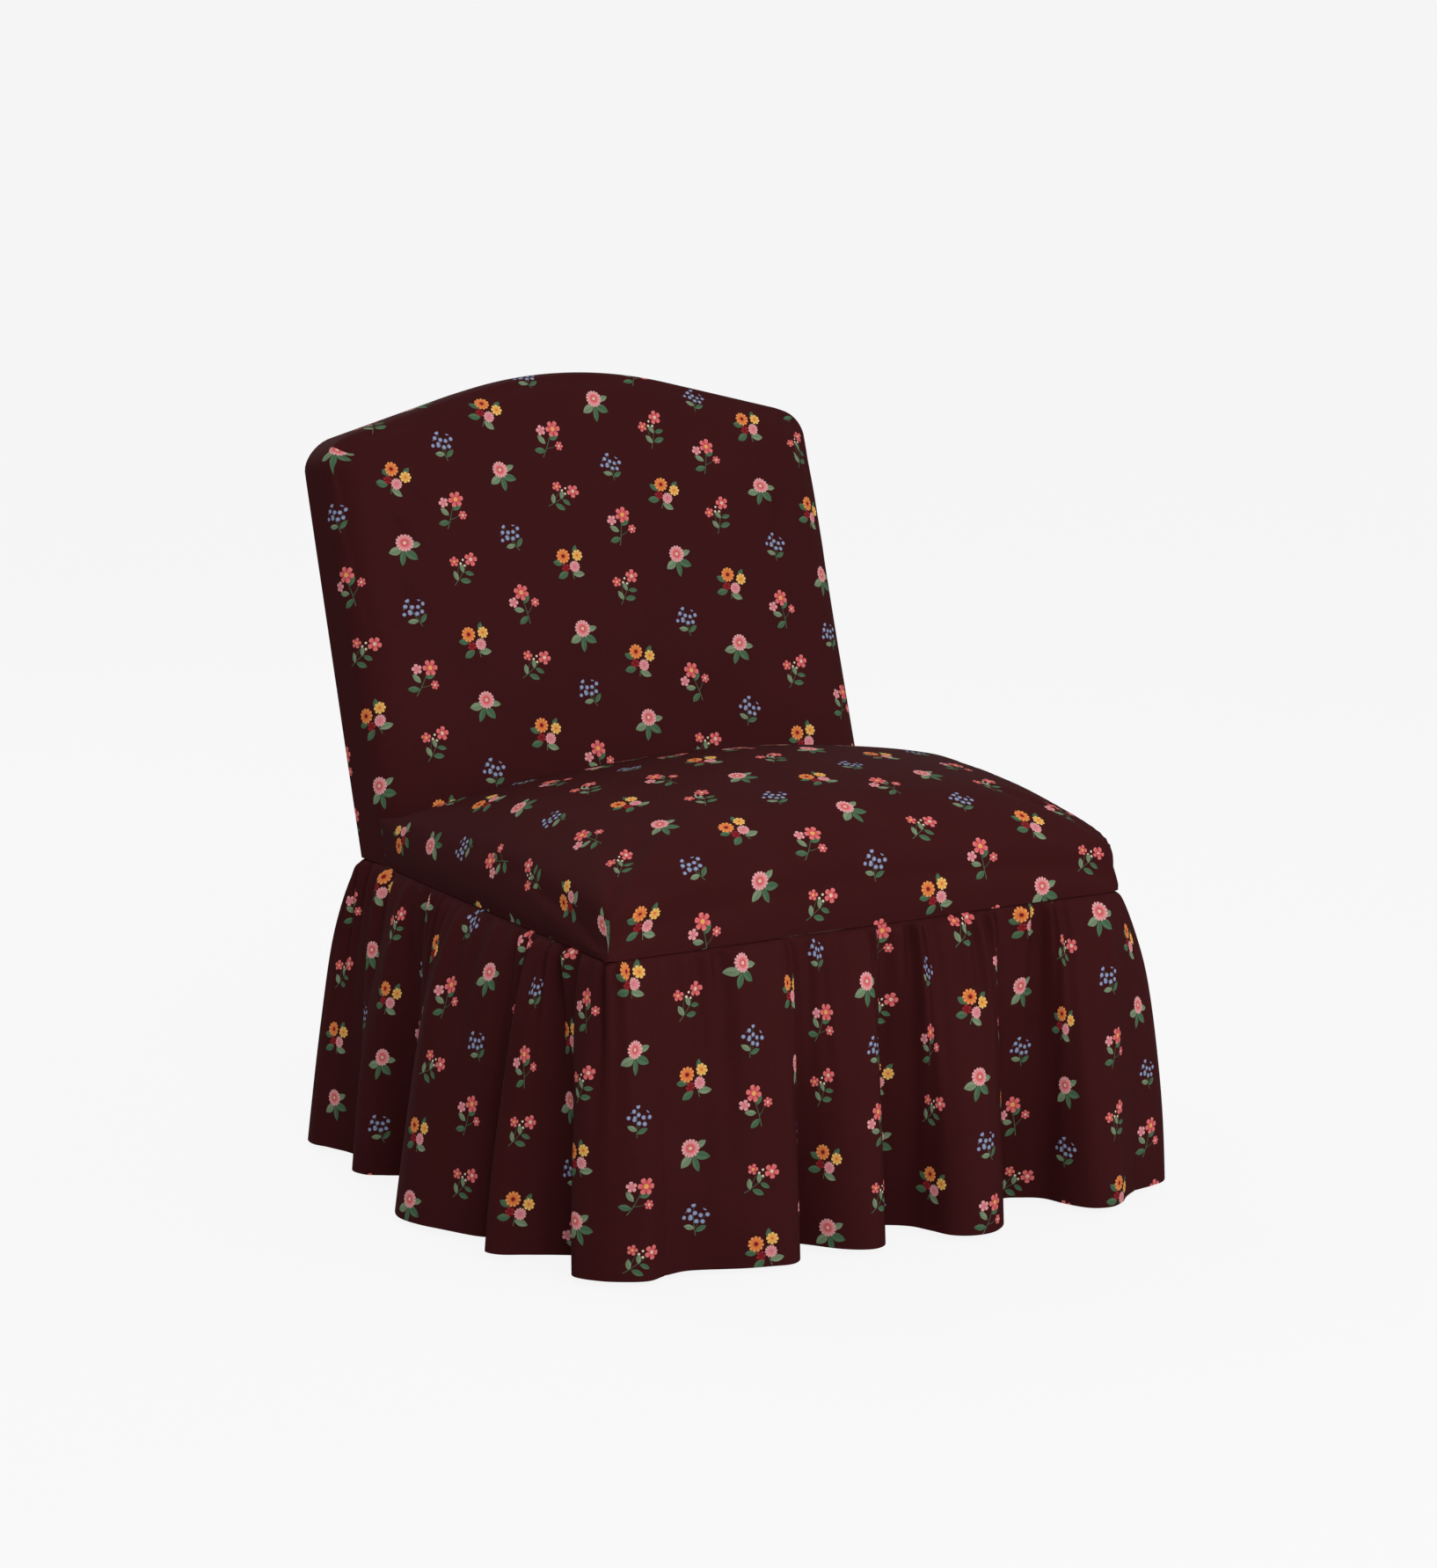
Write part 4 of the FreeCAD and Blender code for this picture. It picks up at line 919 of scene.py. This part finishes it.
def rolled(travel, thick):
    """Inset from the outline and depth from the front, for a way along the cloth."""
    quarter = ROLL * pi / 4
    if travel >= quarter:
        return travel + ROLL - quarter, 0.0
    if travel > -quarter:
        turn = pi / 4 + travel / ROLL
        return ROLL * (1 - cos(turn)), ROLL * (1 - sin(turn))
    along = -travel - quarter
    flat = thick - ROLL - REAR_ROLL
    if along < flat:
        return 0.0, ROLL + along
    turn = (along - flat) / REAR_ROLL
    if turn < pi / 2:
        return REAR_ROLL * (1 - cos(turn)), thick - REAR_ROLL + REAR_ROLL * sin(turn)
    return REAR_ROLL + along - flat - REAR_ROLL * pi / 2, thick


def raked_place(x, forward, up):
    """A place in the back's own frame, carried onto its rake."""
    return Vector((x, BACK_FOOT + forward * cos(RAKE) + up * sin(RAKE),
                   SEAM - forward * sin(RAKE) + up * cos(RAKE)))


FRONT_PUFF = 0.0015


def back_place(spot, wall):
    """Where a point of the inside back's cloth lies, and its cloth coordinates."""
    a, b, c = spot
    sign = 1 if a > 0 else -1
    quarter = ROLL * pi / 4
    half_cloth = BACK_HALF - ROLL + quarter
    side_way = (1 - min(abs(a), 1.0)) * half_cloth
    rough_x = BACK_HALF - rolled(side_way, 1.0)[0]
    rise_cloth = camel_top(rough_x) + BACK_BELOW - ROLL + quarter
    top_way = (1 - c) / 2 * rise_cloth
    up = camel_top(rough_x) - rolled(top_way, 1.0)[0]
    thick = FRONT_THICKNESS + (TOP_THICKNESS - FRONT_THICKNESS) * up / BACK_LENGTH
    edge_way = quarter + thick - ROLL - REAR_ROLL + REAR_ROLL * pi / 2 + REAR_LIP
    if wall[0]:
        side_way = -(b + 1) / 2 * edge_way
    elif wall[2]:
        top_way = -(b + 1) / 2 * edge_way
    cloth = (sign * (half_cloth - side_way), rise_cloth - top_way)
    half = BACK_HALF + BACK_SPREAD * max(up, 0.0) / BACK_LENGTH
    side_in, side_deep = rolled(side_way, thick)
    top_in, top_deep = rolled(top_way, thick)
    near_side = rolled(max(side_way, 0.0), thick)[0]
    near_top = rolled(max(top_way, 0.0), thick)[0]
    deep = side_deep if side_way < top_way else top_deep
    shoulder = SHOULDER + FRONT_ROUNDER * max(1 - deep / ROUNDER_DEPTH, 0.0)
    if near_side < shoulder and near_top < shoulder:
        reach_x, reach_up = shoulder - near_side, shoulder - near_top
        inset = side_in if side_way < top_way else top_in
        length = max(hypot(reach_x, reach_up), 1e-6)
        radius = shoulder - inset
        x = half - shoulder + radius * reach_x / length
        blend = reach_up / length
        up = camel_top(half - shoulder) - SHOULDER_DROP - shoulder + radius * blend
        up += (camel_top(x) - camel_top(half - shoulder) + SHOULDER_DROP) * blend
    else:
        x = half - side_in
        up = camel_top(x) - top_in
    behind = min(deep / thick, 1.0)
    narrower = FRONT_NARROWER + TOP_NARROWER * eased(unit((up - NARROWER_FROM) / NARROWER_OVER))
    x *= 1 + (REAR_WIDER * behind - narrower * (1 - behind)) / BACK_HALF
    up += (FRONT_HIGHER + (REAR_HIGHER - FRONT_HIGHER) * behind) * max(up, 0.0) / BACK_LENGTH
    middle = max(0.0, 1 - (x / PUFF_HALF) ** 4)
    middle *= max(0.0, 1 - ((up - PUFF_MIDDLE) / PUFF_RISE) ** 4)
    front_share = 1.0 if deep < 0.001 else 0.0
    puff = FRONT_PUFF * middle
    puff += BACK_UNEVEN * noise.noise(Vector((sign * x * 6, up * 6, 2.0)))
    return raked_place(sign * x, deep - thick - puff * front_share, up), cloth


def back_sheet():
    """The inside back's cloth, cut level at the seam."""
    sheet = boxed_sheet((118, 26, 96), ((0, 1, 0), (0, 0, -1)))
    shape_sheet(sheet, back_place)
    cut_sheet(sheet, (0, 0, SEAM), (0, 0, -1))
    return sheet


back_cloth = printed_cloth("printed_cotton_back", (0.012, 0.047))
back_outside = back_sheet()
side_plane, side_way = back_plane(HELD_BEHIND)
swell_cloth(back_outside, cap=0.004,
            fixed=lambda spot: (spot - side_plane).dot(side_way) > 0)
keep_clear(back_outside, ("crest_rail", "left_back_post", "right_back_post"), gap=0.0024)
foam_below("back_foam_slab", "back_foam", back_outside, depth=0.0052)
back_wadding = make_piece("back_batting_layer", sunk_copy(back_outside, sunk=0.0018), fibre,
                          thickness=0.0025, node="back_batting")
inside_back = make_piece("inside_back_cloth", back_outside, back_cloth, thickness=0.0015,
                         node="inside_back_cover")


# Outside back cover.
# A flat panel of the same cotton over the rear of the frame, its edge turned in and
# blind sewn just inside the rear edge roll.
PANEL_INSET, TURN_IN, EDGE_DROP, EDGE_REACH = 0.0036, 0.0025, 0.0012, 0.004
PANEL_PUFF, PUFF_REACH, PANEL_UNEVEN = 0.0022, 0.05, 0.0007


def outside_place(spot, wall):
    """Where a point of the outside back's cloth lies, and its cloth coordinates."""
    a, c = spot.x * 2, spot.y * 2
    sign = 1 if a > 0 else -1
    half = BACK_HALF - PANEL_INSET
    from_side = (1 - min(abs(a), 1.0)) * (half + TURN_IN) - TURN_IN
    rough_x = half - max(from_side, 0.0)
    tall = camel_top(rough_x) - PANEL_INSET + BACK_BELOW
    from_top = (1 - c) / 2 * (tall + TURN_IN) - TURN_IN
    turned = max(-from_side, -from_top, 0.0)
    cloth = (sign * (half - from_side), tall - from_top)
    corner = SHOULDER - PANEL_INSET
    in_side, in_top = max(from_side, 0.0), max(from_top, 0.0)
    up = camel_top(rough_x) - PANEL_INSET - in_top
    half += BACK_SPREAD * max(up, 0.0) / BACK_LENGTH
    x = half - in_side
    if in_side < corner and in_top < corner:
        reach_x, reach_up = corner - in_side, corner - in_top
        scale = max(reach_x, reach_up) / hypot(reach_x, reach_up)
        x = half - corner + reach_x * scale
        base = camel_top(x) - PANEL_INSET
        up = base - corner + reach_up * scale
    else:
        up = camel_top(x) - PANEL_INSET - in_top
    near = min(in_side, in_top)
    soften = EDGE_DROP * (1 - min(near / EDGE_REACH, 1.0)) ** 2
    puff = PANEL_PUFF * (1 - exp(-near / PUFF_REACH))
    puff += PANEL_UNEVEN * noise.noise(Vector((sign * x * 8, up * 8, 7.0)))
    up += REAR_HIGHER * max(up, 0.0) / BACK_LENGTH
    return raked_place(sign * x, puff - soften - turned, up), cloth


def flat_sheet(across, down):
    """A flat sheet one unit square, cut into even strips each way."""
    sheet = bmesh.new()
    sheet.loops.layers.uv.new("Cloth")
    bmesh.ops.create_grid(sheet, x_segments=across, y_segments=down, size=0.5)
    return sheet


panel = flat_sheet(120, 100)
shape_sheet(panel, outside_place)
cut_sheet(panel, (0, 0, SEAM), (0, 0, -1))
if sum(face.normal.y for face in panel.faces) < 0:
    bmesh.ops.reverse_faces(panel, faces=panel.faces)
outside_cloth = printed_cloth("printed_cotton_outside", (0.055, 0.021))
outside_back = make_piece("outside_back_cloth", panel, outside_cloth, thickness=0.0014,
                          node="outside_back_cover")


# Skirt of four gathered panels.
# Printed cotton half as wide again as the chair is round, gathered onto a header under the
# seat's edge, with seams in the hollows of its folds and its hem just clear of the floor.
HEADER_HALF, HEADER_FRONT, HEADER_BACK, HEADER_CORNER = 0.3165, -0.3275, 0.2415, 0.0105
HEADER_TOP, SKIRT_FALL, FALL_EASE = 0.3417, 0.3337, 1.03
HEM_FOLDS = {
    "skirt_front": (
        (-266, -354), (-240, -351), (-218, -357), (-186, -371), (-156, -381), (-134, -387),
        (-119, -379), (-108, -355), (-100, -332), (-85, -347), (-67, -371), (-50, -386),
        (-31, -391), (-14, -381), (-4, -354), (8, -323), (25, -327), (43, -343), (52, -364),
        (63, -392), (84, -406), (108, -406), (130, -391), (148, -362), (162, -324), (184, -312),
        (204, -320), (222, -335), (231, -362), (246, -387), (268, -396), (288, -390),
        (306, -375)),
    "skirt_right": (
        (326, -363), (350, -358), (372, -352), (386, -336), (386, -312), (370, -278),
        (351, -250), (353, -226), (376, -200), (389, -174), (381, -148), (357, -122),
        (343, -98), (350, -72), (375, -46), (390, -16), (382, 14), (358, 38), (344, 64),
        (351, 90), (374, 116), (387, 144), (379, 172), (354, 196), (341, 218), (349, 242),
        (356, 264), (350, 288), (332, 305)),
    "skirt_back": (
        (308, 306), (286, 290), (262, 280), (238, 288), (208, 306), (180, 311), (152, 298),
        (130, 272), (108, 262), (86, 274), (64, 302), (42, 311), (18, 298), (0, 270),
        (-20, 261), (-42, 272), (-64, 298), (-88, 310), (-112, 298), (-134, 270), (-154, 262),
        (-176, 272), (-200, 298), (-224, 308), (-250, 296), (-270, 284), (-292, 284)),
    "skirt_left": (
        (-322, 296), (-350, 301), (-374, 288), (-382, 264), (-372, 241), (-360, 213),
        (-358, 190), (-372, 166), (-387, 145), (-382, 122), (-363, 107), (-340, 88), (-346, 56),
        (-378, 26), (-406, -4), (-416, -36), (-410, -68), (-396, -98), (-383, -126),
        (-370, -146), (-354, -158), (-370, -172), (-390, -188), (-383, -206), (-358, -221),
        (-333, -236), (-314, -251), (-322, -270), (-340, -290), (-350, -307), (-344, -323),
        (-331, -338), (-311, -352), (-289, -361)),
}
HEM_MEAN_FLARE, HEM_OPENS, FLARE_OPENS = 0.036, 0.70, 0.38
RIGHT_FROM, RIGHT_OVER, BELLY, RIGHT_BELLY = 0.30, 0.05, 0.0012, 0.0036
FINE_WAVES = (1.0, 0.0052, 0.0, 2.2, 0.041), (0.7, 0.0093, 1.3, 1.7, 0.063)
BROAD_WAVE = 1.0, 0.0165, 0.6, 1.4, 0.11
RIGHT_TUCK, TUCK_REACH, CALM_REACH = 0.0030, 0.06, 0.02
GATHER, GATHER_REACH, GATHER_GROWS, GATHER_LEAST = 0.0062, 0.09, 0.008, 0.12
BROAD, BROAD_AT, BROAD_REACH, CREASE = 0.006, 0.085, 0.07, 0.0022
GROOVE, GROOVE_REACH, RAIL_CLEAR, RAIL_FOOT, CLEAR_EASE = 0.0009, 0.0018, 0.0003, 0.130, 0.002


def curve_between(points, index, share):
    """A smooth closed curve through the hem's points."""
    before, start, end, after = [Vector(points[(index + step) % len(points)])
                                 for step in (-1, 0, 1, 2)]
    return 0.5 * (2 * start + (end - before) * share
                  + (2 * before - 5 * start + 4 * end - after) * share ** 2
                  + (3 * start - before - 3 * end + after) * share ** 3)


hem_points, panel_starts = [], []
for folds in HEM_FOLDS.values():
    panel_starts.append(len(hem_points))
    hem_points += [(x / 1000, y / 1000) for x, y in folds]
SPLITS = 24
hem_line = [curve_between(hem_points, index, step / SPLITS)
            for index in range(len(hem_points)) for step in range(SPLITS)]
cloth_along = [0.0]
for start, end in zip(hem_line, hem_line[1:] + hem_line[:1]):
    cloth_along.append(cloth_along[-1] + (end - start).length)
CLOTH_ROUND = cloth_along[-1]


def header_spot(point):
    """The nearest place on the header's rounded rectangle, and the way out from it."""
    inner_x = min(max(point.x, HEADER_CORNER - HEADER_HALF), HEADER_HALF - HEADER_CORNER)
    inner_y = min(max(point.y, HEADER_FRONT + HEADER_CORNER), HEADER_BACK - HEADER_CORNER)
    away = point - Vector((inner_x, inner_y))
    if away.length < 1e-6:
        away = Vector((0, -1))
    away = away.normalized()
    return Vector((inner_x, inner_y)) + away * HEADER_CORNER, away


EVENINGS, SMOOTHINGS, PULL_OUT = 60, 40, 0.02
header_line = [header_spot(point) for point in hem_line]
for turn in range(EVENINGS):
    spots = [spot for spot, away in header_line]
    header_line = [header_spot((spots[index - 1] + spots[(index + 1) % len(spots)]) / 2
                               + away * PULL_OUT)
                   for index, (spot, away) in enumerate(header_line)]
smooth_away = [away for spot, away in header_line]
for turn in range(SMOOTHINGS):
    smooth_away = [(smooth_away[index - 1] + away * 2
                    + smooth_away[(index + 1) % len(smooth_away)]).normalized()
                   for index, away in enumerate(smooth_away)]


def wave(length, height, pitch, start, stray, stray_pitch):
    """Gathers along the cloth, no two of one width."""
    return height * sin(length / pitch + start + stray * sin(length / stray_pitch))


def skirt_place(way, fall, seam_gap):
    """A place on the skirt: its share along the hem's cloth, how far it has fallen, and
    how far it is from the seam at its panel's end."""
    length = (way % 1.0) * CLOTH_ROUND
    low = min(bisect_right(cloth_along, length), len(hem_line)) - 1
    part = (length - cloth_along[low]) / (cloth_along[low + 1] - cloth_along[low])
    after = (low + 1) % len(hem_line)
    hem = hem_line[low].lerp(hem_line[after], part)
    head = header_line[low][0].lerp(header_line[after][0], part)
    away = smooth_away[low].lerp(smooth_away[after], part).normalized()
    drop = fall * SKIRT_FALL
    flare = HEM_MEAN_FLARE * fall ** FLARE_OPENS
    spot = head + away * flare + (hem - head - away * HEM_MEAN_FLARE) * fall ** HEM_OPENS
    at_right = unit((hem.x - RIGHT_FROM) / RIGHT_OVER)
    spot += away * sin(pi * fall ** 1.5) * (BELLY + RIGHT_BELLY * at_right)
    spot -= away * RIGHT_TUCK * at_right * exp(-(drop / TUCK_REACH) ** 2)
    fine = sum(wave(length, *sizes) for sizes in FINE_WAVES)
    calm = 1 - exp(-(seam_gap / CALM_REACH) ** 2)
    uneven = 0.3 + 1.5 * abs(noise.noise(Vector((length * 8, 0, 3))))
    gather = GATHER * uneven * exp(-drop / GATHER_REACH)
    gather *= min(drop / GATHER_GROWS + GATHER_LEAST, 1.0)
    broad = wave(length, *BROAD_WAVE)
    spot += away * calm * (gather * fine + BROAD * broad * uneven
                           * exp(-((drop - BROAD_AT) / BROAD_REACH) ** 2))
    crease = noise.noise(Vector((length * 20, drop * 5, 1.0)))
    spot += away * CREASE * calm * crease * min(fall * 4, 1.0)
    spot -= away * GROOVE * exp(-(seam_gap / GROOVE_REACH) ** 2)
    least = RAIL_CLEAR - 1.5 * max(drop - RAIL_FOOT, 0.0)
    beyond = (spot - head).dot(away) - least
    if beyond < CLEAR_EASE:
        spot += away * (CLEAR_EASE * exp((beyond - CLEAR_EASE) / CLEAR_EASE) - beyond)
    level = HEADER_TOP - drop + 0.0012 * calm * fall * noise.noise(Vector((length * 6, 0, 9)))
    return Vector((spot.x, spot.y, level)), (way * CLOTH_ROUND, -drop * FALL_EASE)


SKIRT_GRID, FALL_SPACING = 0.0034, 1.25
skirt_cloth = printed_cloth("printed_cotton_skirt", (0.0, 0.018))
for number, (name, start) in enumerate(zip(HEM_FOLDS, panel_starts)):
    end = panel_starts[number + 1] if number < 3 else len(hem_points)
    first = cloth_along[start * SPLITS] / CLOTH_ROUND
    last = cloth_along[end * SPLITS] / CLOTH_ROUND
    width = (last - first) * CLOTH_ROUND
    whole_turns = number // 2
    sheet = flat_sheet(int(width / SKIRT_GRID), 72)
    shape_sheet(sheet, lambda spot, wall: skirt_place(
        first - whole_turns + (spot.x + 0.5) * (last - first), (0.5 - spot.y) ** FALL_SPACING,
        (0.5 - abs(spot.x)) * width))
    outwards = sum(face.normal.dot(face.calc_center_median() * Vector((1, 1, 0)))
                   for face in sheet.faces)
    if outwards < 0:
        bmesh.ops.reverse_faces(sheet, faces=sheet.faces)
    hung = make_piece(name + "_cloth", sheet, skirt_cloth, thickness=0.0013,
                      node=name)
